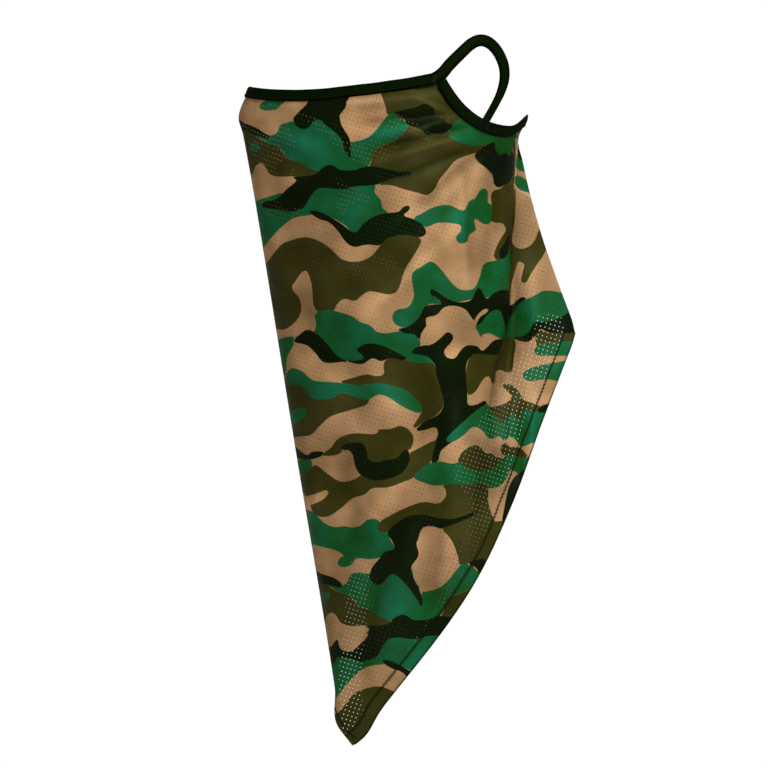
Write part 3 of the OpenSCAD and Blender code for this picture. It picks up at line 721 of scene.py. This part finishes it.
class Shader:
    """A material written as a formula: every method returns an output socket."""

    def __init__(self, name, roughness, **fixed):
        """A new material whose surface has these fixed values."""
        self.material = bpy.data.materials.new(name)
        self.material.use_nodes = True
        self.tree = self.material.node_tree
        self.surface = self.tree.nodes["Principled BSDF"]
        self.surface.inputs["Roughness"].default_value = roughness
        self.surface.inputs["Specular Tint"].default_value = (0.85, 1, 0.5, 1)
        for key, value in fixed.items():
            self.surface.inputs[SOCKETS[key]].default_value = value

    def put(self, socket, value):
        """Links an output to the socket, or sets its value."""
        if isinstance(value, bpy.types.NodeSocket):
            self.tree.links.new(value, socket)
        else:
            socket.default_value = value

    def node(self, kind, out=0, values=(), **options):
        """A new node's output."""
        made = self.tree.nodes.new(kind)
        for key, value in options.items():
            setattr(made, key, value)
        for key, value in (values.items() if isinstance(values, dict) else enumerate(values)):
            self.put(made.inputs[key], value)
        return made.outputs[out]

    def math(self, operation, *values):
        """The result of a sum."""
        return self.node("ShaderNodeMath", values=values, operation=operation)

    def vertex(self, name, out="Fac"):
        """What set_values stored at the vertices."""
        return self.node("ShaderNodeAttribute", out=out, attribute_name=name)

    def split(self, vector):
        """The first two parts of a vector."""
        axes = self.node("ShaderNodeSeparateXYZ", values=[vector]).node
        return axes.outputs[0], axes.outputs[1]

    def noise(self, vector, scale, detail=2.0):
        """A soft random pattern from 0 to 1."""
        values = {"Vector": vector, "Scale": scale, "Detail": detail}
        return self.node("ShaderNodeTexNoise", values=values)

    def between(self, value, low, high, bottom=0.0, top=1.0):
        """A soft step from bottom, where value is low, to top, where it is high."""
        return self.node("ShaderNodeMapRange", interpolation_type="SMOOTHSTEP",
                         values=[value, low, high, bottom, top])

    def mix(self, share, a, b, blend_type="MIX"):
        """Colour a with a share of colour b."""
        values = {0: share, 6: a, 7: b}
        return self.node("ShaderNodeMix", out=2, data_type="RGBA", blend_type=blend_type, values=values)

    def wave(self, value, length):
        """Swings from -1 to 1 with a length in the value's own unit."""
        return self.math("SINE", self.math("MULTIPLY", value, math.tau / length))

    def weighted(self, *terms):
        """The sum of (value, weight) terms."""
        total = self.math("MULTIPLY", *terms[0])
        for value, weight in terms[1:]:
            total = self.math("MULTIPLY_ADD", value, weight, total)
        return total

    def finish(self, colour, height, strength, distance, alpha=None):
        """Wires the colour, the bumps and the holes to the surface."""
        self.put(self.surface.inputs["Base Color"], colour)
        values = {"Strength": strength, "Distance": distance, "Height": height}
        self.put(self.surface.inputs["Normal"], self.node("ShaderNodeBump", values=values))
        if alpha is not None:
            self.put(self.surface.inputs["Alpha"], alpha)
        return self.material


SAND_COLOUR = linear(173, 133, 93)
GREEN_COLOUR = linear(16, 90, 56)
BROWN_COLOUR = linear(56, 52, 18)
BLACK_COLOUR = linear(3, 15, 0)
HOLE_STEPS = ((2.8, -0.8), (-1.3, -2.85))  # from one hole to the next in a row and to the next row
HOLE_RADIUS = 0.26            # where the cloth is slack
WIDE_HOLE = 0.34              # where it is pulled
PRINTED = (("green", GREEN_COLOUR, 0.3), ("brown", BROWN_COLOUR, 0.15), ("black", BLACK_COLOUR, 0.0))
PRINT_BLEED = 0.18            # half the width over which one colour runs into the next
RIB, CROSS_RIB = 1.05, 0.8    # pitches of the knit's two sets of ribs


def hole_distance(shader, across, down):
    """Distance in millimetres to the middle of the nearest hole of the mesh."""
    (ay, az), (by, bz) = HOLE_STEPS
    area = ay * bz - by * az
    i = shader.weighted((across, bz / area), (down, -by / area))
    j = shader.weighted((across, -az / area), (down, ay / area))
    fi, fj = (shader.math("SUBTRACT", shader.math("FRACT", v), 0.5) for v in (i, j))
    dy = shader.weighted((fi, ay), (fj, by))
    dz = shader.weighted((fi, az), (fj, bz))
    return shader.math("SQRT", shader.math("MULTIPLY_ADD", dz, dz, shader.math("MULTIPLY", dy, dy)))


def camo_cloth(name, holes):
    """Satin-faced polyester mesh with a four-colour woodland print."""
    shader = Shader(name, 0.42, sheen_weight=0.01, sheen_roughness=0.3, specular_ior_level=0.09)
    weave = shader.vertex("weave", "Vector")
    across, down = shader.split(weave)
    colour, printed = SAND_COLOUR, 0.0
    for field, paint, edge in PRINTED:
        inside = shader.between(shader.vertex(field), edge + PRINT_BLEED, edge - PRINT_BLEED)
        colour = shader.mix(inside, colour, paint)
        printed = shader.math("MAXIMUM", printed, inside)
    uneven = shader.between(shader.noise(weave, 0.03, 3.0), 0.35, 0.65, 0.76, 1.08)
    fibre = shader.between(shader.noise(weave, 1.7, 2.0), 0.25, 0.75, 0.93, 1.06)
    tone = shader.math("MULTIPLY", shader.math("MULTIPLY", uneven, fibre), shader.vertex("shade"))
    ribs = shader.wave(shader.weighted((across, 0.71), (down, 0.7)), RIB)
    cross_ribs = shader.wave(shader.weighted((across, 0.71), (down, -0.7)), CROSS_RIB)
    height = shader.weighted((ribs, 0.5), (cross_ribs, 0.2), (shader.noise(weave, 2.5, 2.0), 0.6))
    alpha = None
    if holes:
        from_rim = shader.math("SUBTRACT", hole_distance(shader, across, down), shader.vertex("holes"))
        # Painted shade in the dimple round each hole.
        tone = shader.math("MULTIPLY", tone, shader.between(from_rim, 0.0, 0.4, 0.82, 1.0))
        height = shader.math("ADD", height, shader.between(from_rim, -0.2, 0.5, -1.8, 0.0))
        alpha = shader.between(from_rim, -0.08, 0.08)
    # Below a tone of 1 (painted shade and random unevenness alike) blue falls faster, as in shade; above 1,
    # up to 1.12, blue rises, a painted bluish satin sheen.
    warmth = shader.math("MULTIPLY_ADD", printed, 1.5, 0.1)
    warm = shader.math("MULTIPLY", tone, shader.math("POWER", shader.math("MINIMUM", tone, 1.12), warmth))
    shade = shader.node("ShaderNodeCombineColor", values=[tone, tone, warm])
    colour = shader.mix(1.0, colour, shade, "MULTIPLY")
    return shader.finish(colour, height, 0.45, 0.00022, alpha)


def elastic(name, width):
    """Dark green knitted elastic, ribbed along its length, with a painted sheen along its crown."""
    shader = Shader(name, 0.6, sheen_weight=0.0, sheen_roughness=0.5, specular_ior_level=0.02)
    weave = shader.vertex("weave", "Vector")
    along, over = shader.split(weave)
    ribs = shader.wave(over, 0.85)
    loops = shader.wave(along, 0.95)
    height = shader.weighted((ribs, 0.6), (loops, 0.45), (shader.noise(weave, 2.2, 2.0), 0.8))
    # A painted sheen along the crown and painted shade at the edges, varying in strength in random patches.
    crown = shader.between(shader.math("ABSOLUTE", over), width * 0.5, width * 0.12)
    sheen_patches = shader.between(shader.noise(weave, 0.9, 3.0), 0.25, 0.75, 0.5, 1.0)
    light = shader.math("MULTIPLY", crown, sheen_patches)
    colour = shader.mix(light, linear(1, 6, 0), linear(8, 23, 1))
    return shader.finish(colour, height, 0.5, 0.0002)


def thread(name):
    """Dark polyester sewing thread with its twist."""
    shader = Shader(name, 0.5, specular_ior_level=0.15)
    weave = shader.vertex("weave", "Vector")
    along, turn = shader.split(weave)
    twist = shader.math("SINE", shader.weighted((along, math.tau / 0.9), (turn, 2.0)))
    ply = shader.between(twist, -1.0, 1.0)
    colour = shader.mix(ply, linear(2, 6, 1), linear(8, 16, 5))
    return shader.finish(colour, ply, 0.6, 0.0001)


CLOTH = camo_cloth("camo_mesh_cloth", holes=True)
HEM_CLOTH = camo_cloth("camo_hem_cloth", holes=False)
BINDING = elastic("binding_elastic", 8.0)
LOOP = elastic("loop_elastic", 6.6)
THREAD = thread("sewing_thread")


# ---------------------------------------------------------------- cloth
def fitted(piece, look, slot, *nodes, body="mask"):
    """Gives a finished piece its material and the body that it moves with, and hides the CAD nodes that it
    stands in for.
    """
    piece.data.materials.append(look)
    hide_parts(*nodes)
    if body:
        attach(piece, body)
    return piece


HEM_START = 2.5               # from the tip to where each hem's turned-up layer starts
HEM_LINE = 8.3                # from the edge to the hem's stitching
MESH_TOP = 7.1                # from the top edge to where the holes begin, below the binding
SHADE_WIDTH = 1.6             # of the painted shade lines by the hem's stitching and below the binding
FAR_IN = 20.0                 # distances to an edge aren't measured past this
EDGE_ROWS = 40                # nor in more rows than this
LEE = (0.34, -3.2, 3.6)       # strength, place past the pleat's line and width of its painted soft shadow
CREST = (1.3, 0.6, 0.8)       # of the painted highlight on its crest
GROOVE = (0.62, -1.2, 1.7)    # and of the painted shade in its groove
HAIRLINE = [(70, -46), (85.5, -58), (95, -63), (104, -71)]      # a pale crease across the left pleat
# Soft patches of painted light (above 0) and painted shade (below 0): middle (Y, Z), radii and change.
PAINTED_LIGHT_PATCHES = [
    ((-66, -18), (38, 34), 0.26), ((-36, -345), (22, 66), -0.32), ((-12, -380), (18, 24), -0.18),
    ((74, -60), (24, 60), -0.3), ((70, -190), (20, 90), -0.2), ((48, -300), (20, 70), -0.15),
    ((80, -30), (22, 18), -0.32), ((90, -179), (4.5, 24), -0.16), ((86, -219), (7, 15), -0.3),
    ((80, -241), (9, 11), -0.24),
]
# The turned-up hem's section: distances in from the edge and out from the cloth.
HEM_SHAPE = [(0.6, 0.3), (-0.1, 0.45), (-0.55, 0.1), (-0.6, -0.5), (-0.2, -1.0), (0.6, -1.15), (4, -1.2),
             (7.4, -1.15), (7.9, -0.95), (7.4, -0.6), (4, -0.55), (0.6, -0.45)]
TIP_LINE = [(-33.2, -409), (-30, -417.5), (-25, -424.5), (-19.5, -429.3)]      # stitching across the tip
TIP_WAVES, TIP_SWING = 10, 0.35           # how often that stitching swings, and how far
HEM_ZIGZAG = (2.7, 0.75)      # pitch of the hem's zigzag, and half its width
HEM_THREAD_OUT = 0.22         # how far its middle stands over the cloth
HEM_THREAD, TIP_THREAD = 0.36, 0.33       # radii of the threads


def edge_distance(points, row):
    """How far each point is from the cloth's top edge (row 0) or its hem (row -1), up to FAR_IN."""
    distance = np.full(points.shape[:2], FAR_IN)
    for i in range(EDGE_ROWS):
        k = i if row == 0 else -1 - i
        gap = points[k][:, None] - points[row][None]
        distance[k] = np.minimum(FAR_IN, np.sqrt((gap**2).sum(-1)).min(1))
    return distance


def tone_line(past, strength, place, width):
    """A soft line at its place past a pleat's line."""
    return strength * bump(past, place, width)


def pleat_shade(y, z, pleat):
    """Painted shade in the lee and the groove of a pleat, and a painted highlight along its crest near the
    top.
    """
    ys, zs = np.array(pleat, float).T
    past = y - np.interp(z, zs[::-1], ys[::-1])
    run_out = ramp(z, zs[-1], PLEAT_END)
    lee = tone_line(past, *LEE) * ramp(-z, 52, 30) * run_out
    crest = tone_line(past, *CREST) * ramp(-z, 22, 8) * ramp(z, -100, 30)
    groove = tone_line(past, *GROOVE) * ramp(-z, 62, 24) * run_out
    return (1 - lee) * (1 - groove) + crest


def hairline_shade(y, z):
    """Paler along the hairline crease."""
    ys, zs = np.array(HAIRLINE, float).T
    ends = ramp(y, ys[0], 10) * ramp(ys[-1] + 1 - y, 0, 2)
    return 1 + 0.6 * bump(z, np.interp(y, ys, zs), 0.8) * ends


def painted_light_patches(y, z):
    """Soft paler and darker patches, as the light on the crumpled cloth has."""
    return 1.0 + sum(change * spot(y, z, middle, *radii) for middle, radii, change in PAINTED_LIGHT_PATCHES)


def make_cloth(name, side):
    """One side of the cloth, as a single sheet from the front fold to the centre back."""
    columns = slice(COLS, None) if side > 0 else slice(None, COLS + 1)
    points, normals = cloth[:, columns], cloth_normals[:, columns]
    piece = new_piece(name, points, grid_faces(ROWS + 1, COLS + 1), solid=False)
    piece.data.normals_split_custom_set_from_vertices(normals.reshape(-1, 3).tolist())
    from_hem, from_top = edge_distance(points, -1), edge_distance(points, 0)
    open_mesh = ramp(from_hem, HEM_LINE, 1.2) * ramp(from_top, MESH_TOP, 1.5)
    # Painted shade along the hem's stitching and below the binding.
    shade = 1 - 0.16 * bump(from_hem, HEM_LINE, SHADE_WIDTH) - 0.18 * bump(from_top, 7.2, SHADE_WIDTH)
    y, z = cloth_y[:, columns], cloth_z[:, columns]
    # Painted shade in the pleats' lee and groove and in the folds' valleys, painted highlights on the pleats'
    # crests and the folds' ridges, and soft patches of painted light and shade.
    shade *= pleat_shade(y, z, LEFT_PLEAT if side > 0 else RIGHT_PLEAT) * (1 + 0.3 * hollows[:, columns])
    shade *= painted_light_patches(y, z)
    if side > 0:
        shade *= hairline_shade(y, z)
    set_print(piece, points, side, shade, open_mesh, smooth_places=(y, z))
    return fitted(piece, CLOTH, "camo_mesh", "mesh_body")


def make_hem(name, node, side):
    """The hem's turned-up layer on one side, from the tip to the centre back."""
    s = side * np.arange(HEM_START, hem.length / 2 - 0.5, 1.5)
    d, out = np.array(HEM_SHAPE).T
    ripple = 0.18 * noise(s, 0 * s, 17, 31)[:, None] * np.clip(d / 8, 0, 1)
    points = hem.at(s[:, None], d + ripple, out)
    piece = new_piece(name, points, grid_faces(len(s), len(d), ring=True, capped=True))
    # Painted shade, darker towards the hem's folded edge.
    set_print(piece, points, side, shade=np.interp(d, [0, 0.7, 1.4], [0.3, 0.5, 1]))
    return fitted(piece, HEM_CLOTH, "hem_cloth", node)


def stitch_line(s0, s1, pitch, swing, d, out, edge, seed):
    """Zigzag stitching along an edge."""
    s = np.linspace(s0, s1, int(abs(s1 - s0) / pitch * 6))
    phase = s / pitch * math.tau
    zigzag = np.arcsin(np.sin(phase) * 0.97) / 1.32
    lift = out - 0.1 * np.abs(zigzag) ** 3
    return edge.at(s, d + swing * zigzag + 0.15 * noise(s, 0 * s, 40, seed), lift)


def make_stitching(name, node, path, radius):
    """Sewing thread along a path."""
    return fitted(tube(name, path, radius, squeeze=0.8), THREAD, "thread", node)


left_cloth = make_cloth("camo_cloth_left", 1)
right_cloth = make_cloth("camo_cloth_right", -1)
make_hem("hem_turn_left", "left_hem", 1)
make_hem("hem_turn_right", "right_hem", -1)


def tip_stitches(side):
    """The far hem's stitching where it crosses the tip, seen on one side."""
    t = np.linspace(0, 1, 90)
    y, z = spline(TIP_LINE, t).T
    zigzag = TIP_SWING * np.sin(t * math.tau * TIP_WAVES)
    y, z = y + zigzag, z + zigzag
    low = cloth[-60:, COLS:COLS + 40] if side > 0 else cloth[-60:, COLS - 40:COLS + 1]
    gap_y, gap_z = low[..., 1, None] - y, low[..., 2, None] - z
    near = (gap_y**2 + gap_z**2).reshape(-1, len(t))
    closest = np.argsort(near, axis=0)[:4]
    weight = 1 / (np.take_along_axis(near, closest, 0) + 0.2)
    x = (low[..., 0].ravel()[closest] * weight).sum(0) / weight.sum(0)
    return np.stack([x + side * 0.4, y, z], -1)


for label, side in (("left", 1), ("right", -1)):
    ends = side * 1.0, side * (hem.length / 2 - 1)
    line = stitch_line(*ends, *HEM_ZIGZAG, HEM_LINE, HEM_THREAD_OUT, hem, 41 + side)
    make_stitching(f"hem_stitches_{label}", f"{label}_hem_stitching", line, HEM_THREAD)
    make_stitching(f"tip_stitches_{label}", f"{label}_hem_stitching", tip_stitches(side), TIP_THREAD)


# ---------------------------------------------------------------- centre-back seam
SEAM_SPAN = (0.14, 0.93)      # shares of the centre back between which the allowance runs
SEAM_DEPTH = 6                # how far it stands in from the cloth
SEAM_MIDDLE, SEAM_REACH = 3.4, 2.7        # where the middle of its section is, and half its depth
SEAM_HALF = 0.55              # half its thickness
OVERLOCK_PITCH = 2.4
OVERLOCK_MIDDLE = 5.0         # how far in from the cloth the middle of its turns is
OVERLOCK_HALF, OVERLOCK_REACH = 0.95, 1.35        # half their width and half their depth
OVERLOCK_SWAY = 0.8           # share of the free edge's sway there
OVERLOCK_THREAD = 0.24        # radius of the thread


def rear_points(share):
    """Places of the cloth down the centre back."""
    row = share * ROWS
    i = np.minimum(row.astype(int), ROWS - 1)
    return mix(cloth[i, 0], cloth[i + 1, 0], (row - i)[:, None])


def seam_wave(base):
    """How far the allowance's free edge sways to the side."""
    return 0.45 * noise(base[:, 2], 0 * base[:, 2], 26, 51)


def blunt(wave, power):
    """A wave with fuller tops, for a rounded oblong section."""
    return np.sign(wave) * np.abs(wave) ** power


def make_seam():
    """The seam's two allowances, pressed together."""
    share = np.linspace(*SEAM_SPAN, 260)
    base = rear_points(share)
    turn = np.linspace(0, math.tau, 14, endpoint=False)
    depth = SEAM_MIDDLE - SEAM_REACH * np.cos(turn)
    wave = seam_wave(base)[:, None] * (depth / SEAM_DEPTH) ** 2
    x = SEAM_HALF * blunt(np.sin(turn), 0.5) + wave
    points = np.stack([x, base[:, 1:2] - depth, np.broadcast_to(base[:, 2:3], x.shape)], -1)
    faces = grid_faces(len(share), len(turn), ring=True, capped=True)
    piece = new_piece("back_seam_allowance", points, faces)
    set_print(piece, points, 1)
    return fitted(piece, HEM_CLOTH, "hem_cloth", "back_seam")


def make_overlock():
    """The thread that runs over the allowance's raw edge."""
    share = np.linspace(SEAM_SPAN[0] + 0.005, SEAM_SPAN[1] - 0.005, 1700)
    base = rear_points(share)
    turn = lengths_along(base) / OVERLOCK_PITCH * math.tau
    x = OVERLOCK_HALF * np.cos(turn) + OVERLOCK_SWAY * seam_wave(base)
    y = base[:, 1] - OVERLOCK_MIDDLE - OVERLOCK_REACH * np.sin(turn)
    path = np.stack([x, y, base[:, 2]], -1)
    piece = tube("back_seam_overlock_thread", path, OVERLOCK_THREAD, 5)
    return fitted(piece, THREAD, "thread", "back_seam_overlock")


make_seam()
make_overlock()


# ---------------------------------------------------------------- bindings
BINDING_EDGE = 7.0            # how far the folded elastic reaches over the cloth
BINDING_LIP = 1.15            # how far it stands past the cloth's edge
BINDING_HALF = 1.3            # half its thickness
BINDING_MIDDLE = 2.6          # from the edge to the middle of its width
STITCH_LINE = 5.3             # from the edge to the binding's zigzag
BINDING_ZIGZAG = (2.3, 0.8)   # the zigzag's pitch, and half its width
BINDING_THREAD = 0.22         # radius of its thread
UNDER = 1.5                   # how far each binding runs on past the junction
# The folded elastic's section: distances in from the edge and out from the cloth.
BINDING_SHAPE = [(BINDING_EDGE - 0.1, 0.45), (BINDING_EDGE - 0.5, 1.0), (5.2, 1.12), (3.6, BINDING_HALF),
                 (2.2, 1.38), (0.9, 1.3), (-0.2, 1.0), (-0.9, 0.55), (-BINDING_LIP, 0)]


def make_binding(name, node, s0, s1):
    """Folded elastic over the top edge from s0 to s1."""
    half = np.array(BINDING_SHAPE)
    d, out = np.concatenate([half, half[-2::-1] * (1, -1)]).T
    s = np.arange(s0, s1, 1.2)
    ripple = 0.1 * noise(s, 0 * s, 23, 61)[:, None]
    swell = 1 + 0.06 * noise(s, 0 * s, 9, 62)[:, None]
    points = top.at(s[:, None], d + ripple, out * swell)
    piece = new_piece(name, points, grid_faces(len(s), len(d), ring=True, capped=True))
    set_weave(piece, s[:, None], d - BINDING_MIDDLE)
    return fitted(piece, BINDING, "elastic", node)


NOSE_RUN = (-S_JUNCTION, S_JUNCTION)
NAPE_RUN = (S_JUNCTION, top.length - S_JUNCTION)
for label, (s0, s1) in (("nose", NOSE_RUN), ("nape", NAPE_RUN)):
    make_binding(f"{label}_binding_elastic", f"{label}_binding", s0 - UNDER, s1 + UNDER)
for label, (s0, s1), inset in (("nose", NOSE_RUN, 5), ("nape", NAPE_RUN, 7)):
    ends = s0 + inset, s1 - inset
    line = stitch_line(*ends, *BINDING_ZIGZAG, STITCH_LINE, BINDING_HALF - 0.08, top, 71)
    make_stitching(f"{label}_binding_stitches", f"{label}_binding_stitching", line, BINDING_THREAD)


# ---------------------------------------------------------------- ear loops
LOOP_LINE = [(21, 10.6), (27.5, 11.8), (33.5, 13.6), (38.7, 17.3), (44, 23.5), (52, 31.5), (58.5, 37.3),
             (64.5, 39.6), (70.5, 37.8), (76, 32), (80, 23), (80.6, 14), (78.3, 5), (74, -4),
             (69.5, -12), (66, -18)]
UPPER_ROOT = (39.5, 19.5)
LOWER_ROOT_PLACE = (71, -12)
LOOP_LEAN = 3                 # how far the loop leans out at its top
LOOP_LIFT, LOOP_TUCK = 0.75, 2.3          # its start lies over the cloth, and its end behind it
# Shares of the way along the loop, and its width there.
LOOP_WIDTHS = [(0, 7.7), (0.12, 7.6), (0.35, 7.2), (0.55, 6.6), (0.75, 6.3), (0.86, 5.2), (1, 5.2)]
LOOP_HALF_THICK = 0.95
LOOP_RINGS = 150
LIFT_FADE = (0.16, 0.1)       # share of the loop at which it leaves the cloth, and over which it does so
TUCK_FADE = (0.86, 0.09)      # and at which it goes in behind it
# Place along the edge, first and last row of thread in from it, and height over the cloth.
UPPER_TACK = (S_JUNCTION - 4.5, 0.4, 5.4, 1.85)
LOWER_TACK = (S_LOWER, 0.6, 5.2, 1.5)
TACK_THREAD = 0.24            # radius of the thread


def loop_path():
    """The left loop's middle line."""
    t = np.linspace(0, 1, LOOP_RINGS)
    y, z = spline(LOOP_LINE, t).T
    (y0, z0), (y1, z1) = UPPER_ROOT, LOWER_ROOT_PLACE
    x0, x1 = (float(half_depth(np.array(a), np.array(b - 3))) for a, b in (UPPER_ROOT, LOWER_ROOT_PLACE))
    rise = ((y - y0) * (z0 - z1) + (z - z0) * (y1 - y0)) / math.hypot(y1 - y0, z1 - z0)
    x = mix(x0, x1, np.clip((y - y0) / (y1 - y0), 0, 1)) + LOOP_LEAN * np.clip(rise / 40, 0, 1)
    on_cloth = half_depth(np.minimum(y, 90), z)
    x = mix(on_cloth + LOOP_LIFT, x, ramp(t, *LIFT_FADE))
    return np.stack([mix(x, on_cloth - LOOP_TUCK, ramp(t, *TUCK_FADE)), y, z], -1)


def make_loop(label, side):
    """One ear loop."""
    path = loop_path()
    along = unit(np.gradient(path, axis=0))
    across = unit(np.cross(along, np.array([1.0, 0, 0])))
    thin = np.cross(across, along)
    turn = np.linspace(0, math.tau, 24, endpoint=False)
    t = np.linspace(0, 1, LOOP_RINGS)
    run = lengths_along(path)
    width = profile(LOOP_WIDTHS, t)[:, None] * (1 + 0.012 * noise(run, 0 * run, 14, 81)[:, None])
    a = blunt(np.cos(turn), 0.7) * width / 2
    b = blunt(np.sin(turn), 0.6) * LOOP_HALF_THICK
    b = b * (1 + 0.05 * noise(run, 0 * run, 8, 82)[:, None])
    points = path[:, None] + across[:, None] * a[..., None] + thin[:, None] * b[..., None]
    points[..., 0] *= side
    faces = grid_faces(*a.shape, ring=True, capped=True)
    piece = new_piece(f"ear_loop_elastic_{label}", points, faces)
    set_weave(piece, run[:, None], a)
    fitted(piece, LOOP, "elastic", f"{label}_ear_loop", body=None)
    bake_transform(piece)


def make_bartack(name, node, side, s, d0, d1, out, width=4.6, rows=13):
    """A dense block of zigzag thread."""
    k = np.linspace(0, rows, rows * 6)
    swing = np.arcsin(np.sin(k * math.pi) * 0.985) / 1.4
    path = top.at(side * s + swing * width / 2, mix(d0, d1, k / rows), out + 0.12 * np.cos(swing * 1.5))
    make_stitching(name, node, path, TACK_THREAD)


for label, side in (("left", 1), ("right", -1)):
    make_loop(label, side)
    make_bartack(f"upper_bartack_{label}", f"{label}_upper_bartack", side, *UPPER_TACK)
    make_bartack(f"lower_bartack_{label}", f"{label}_lower_bartack", side, *LOWER_TACK)


# ---------------------------------------------------------------- floor, light and camera
# In metres and degrees.
AIM = (0.0, -0.0003, -0.1913)
FRAME_WIDTH = 0.5146          # width of the picture at the object's near side
NEAR_SIDE = 0.045             # how much nearer that is than the middle
DISTANCE = 16.0
AZIMUTH, ELEVATION = 90.0, 0.0
SENSOR = 36                   # millimetres
FLOOR_Z = -0.475
FLOOR_RADIUS = 700            # millimetres
WORLD_COLOUR, WORLD_LIGHT = (1, 0.96, 0.8, 1), 0.27       # what lights the object from all round
BACKDROP_LIGHT = 1.02         # brightness of the white that the camera sees
LAMP_COLOUR = (0.97, 1.0, 1.06)
# Each lamp's name, azimuth, elevation, distance, size and power.
LAMPS = [("key", 123, 44, 2.0, 0.5, 44), ("fill", 62, 24, 2.6, 1.6, 2.5), ("back", 260, 40, 2.4, 1.4, 22)]


def direction(azimuth, elevation):
    """Towards the object's front at azimuth 0, and its left at 90."""
    a, e = math.radians(azimuth), math.radians(elevation)
    return Vector((math.sin(a) * math.cos(e), -math.cos(a) * math.cos(e), math.sin(e)))


def make_camera():
    """The photo's view, from the wearer's left."""
    camera = bpy.data.objects.new("camera", bpy.data.cameras.new("camera"))
    bpy.context.scene.collection.objects.link(camera)
    back = direction(AZIMUTH, ELEVATION)
    camera.location = Vector(AIM) + back * DISTANCE
    camera.rotation_euler = back.to_track_quat("Z", "Y").to_euler()
    camera.data.sensor_width = SENSOR
    camera.data.lens = SENSOR * (DISTANCE - NEAR_SIDE) / FRAME_WIDTH
    bpy.context.scene.camera = camera


def make_floor():
    """A pale round floor below the object."""
    turn = np.linspace(0, math.tau, 96, endpoint=False)
    x, y = FLOOR_RADIUS * np.cos(turn), FLOOR_RADIUS * np.sin(turn)
    rim = np.stack([x, y, np.full_like(turn, FLOOR_Z / MM)], -1)
    floor = new_piece("floor", rim, [list(range(len(turn)))], solid=False)
    shader = Shader("pale_floor", 0.8)
    mottle = shader.noise(shader.node("ShaderNodeTexCoord", out="Object"), 3.0)
    colour = shader.mix(mottle, linear(236, 236, 234), linear(240, 240, 238))
    floor.data.materials.append(shader.finish(colour, mottle, 0.05, 0.001))


def make_light(name, azimuth, elevation, distance, size, power):
    """A soft square light that faces the object."""
    lamp = bpy.data.lights.new(name, "AREA")
    lamp.color = LAMP_COLOUR
    lamp.size = size
    lamp.energy = power
    light = bpy.data.objects.new(name, lamp)
    back = direction(azimuth, elevation)
    light.location = Vector(AIM) + back * distance
    light.rotation_euler = back.to_track_quat("Z", "Y").to_euler()
    bpy.context.scene.collection.objects.link(light)


def make_world():
    """White behind the object, and a weaker, warmer light on it."""
    world = bpy.data.worlds.new("studio")
    world.use_nodes = True
    tree = world.node_tree
    soft = tree.nodes["Background"]
    soft.inputs["Color"].default_value = WORLD_COLOUR
    soft.inputs["Strength"].default_value = WORLD_LIGHT
    white = tree.nodes.new("ShaderNodeBackground")
    white.inputs["Color"].default_value = (1, 1, 1, 1)
    white.inputs["Strength"].default_value = BACKDROP_LIGHT
    ray, both = tree.nodes.new("ShaderNodeLightPath"), tree.nodes.new("ShaderNodeMixShader")
    tree.links.new(ray.outputs["Is Camera Ray"], both.inputs[0])
    tree.links.new(soft.outputs[0], both.inputs[1])
    tree.links.new(white.outputs[0], both.inputs[2])
    tree.links.new(both.outputs[0], tree.nodes["World Output"].inputs["Surface"])
    bpy.context.scene.world = world
    bpy.context.scene.view_settings.view_transform = "Standard"


make_camera()
make_floor()
make_world()
for lamp in LAMPS:
    make_light(*lamp)
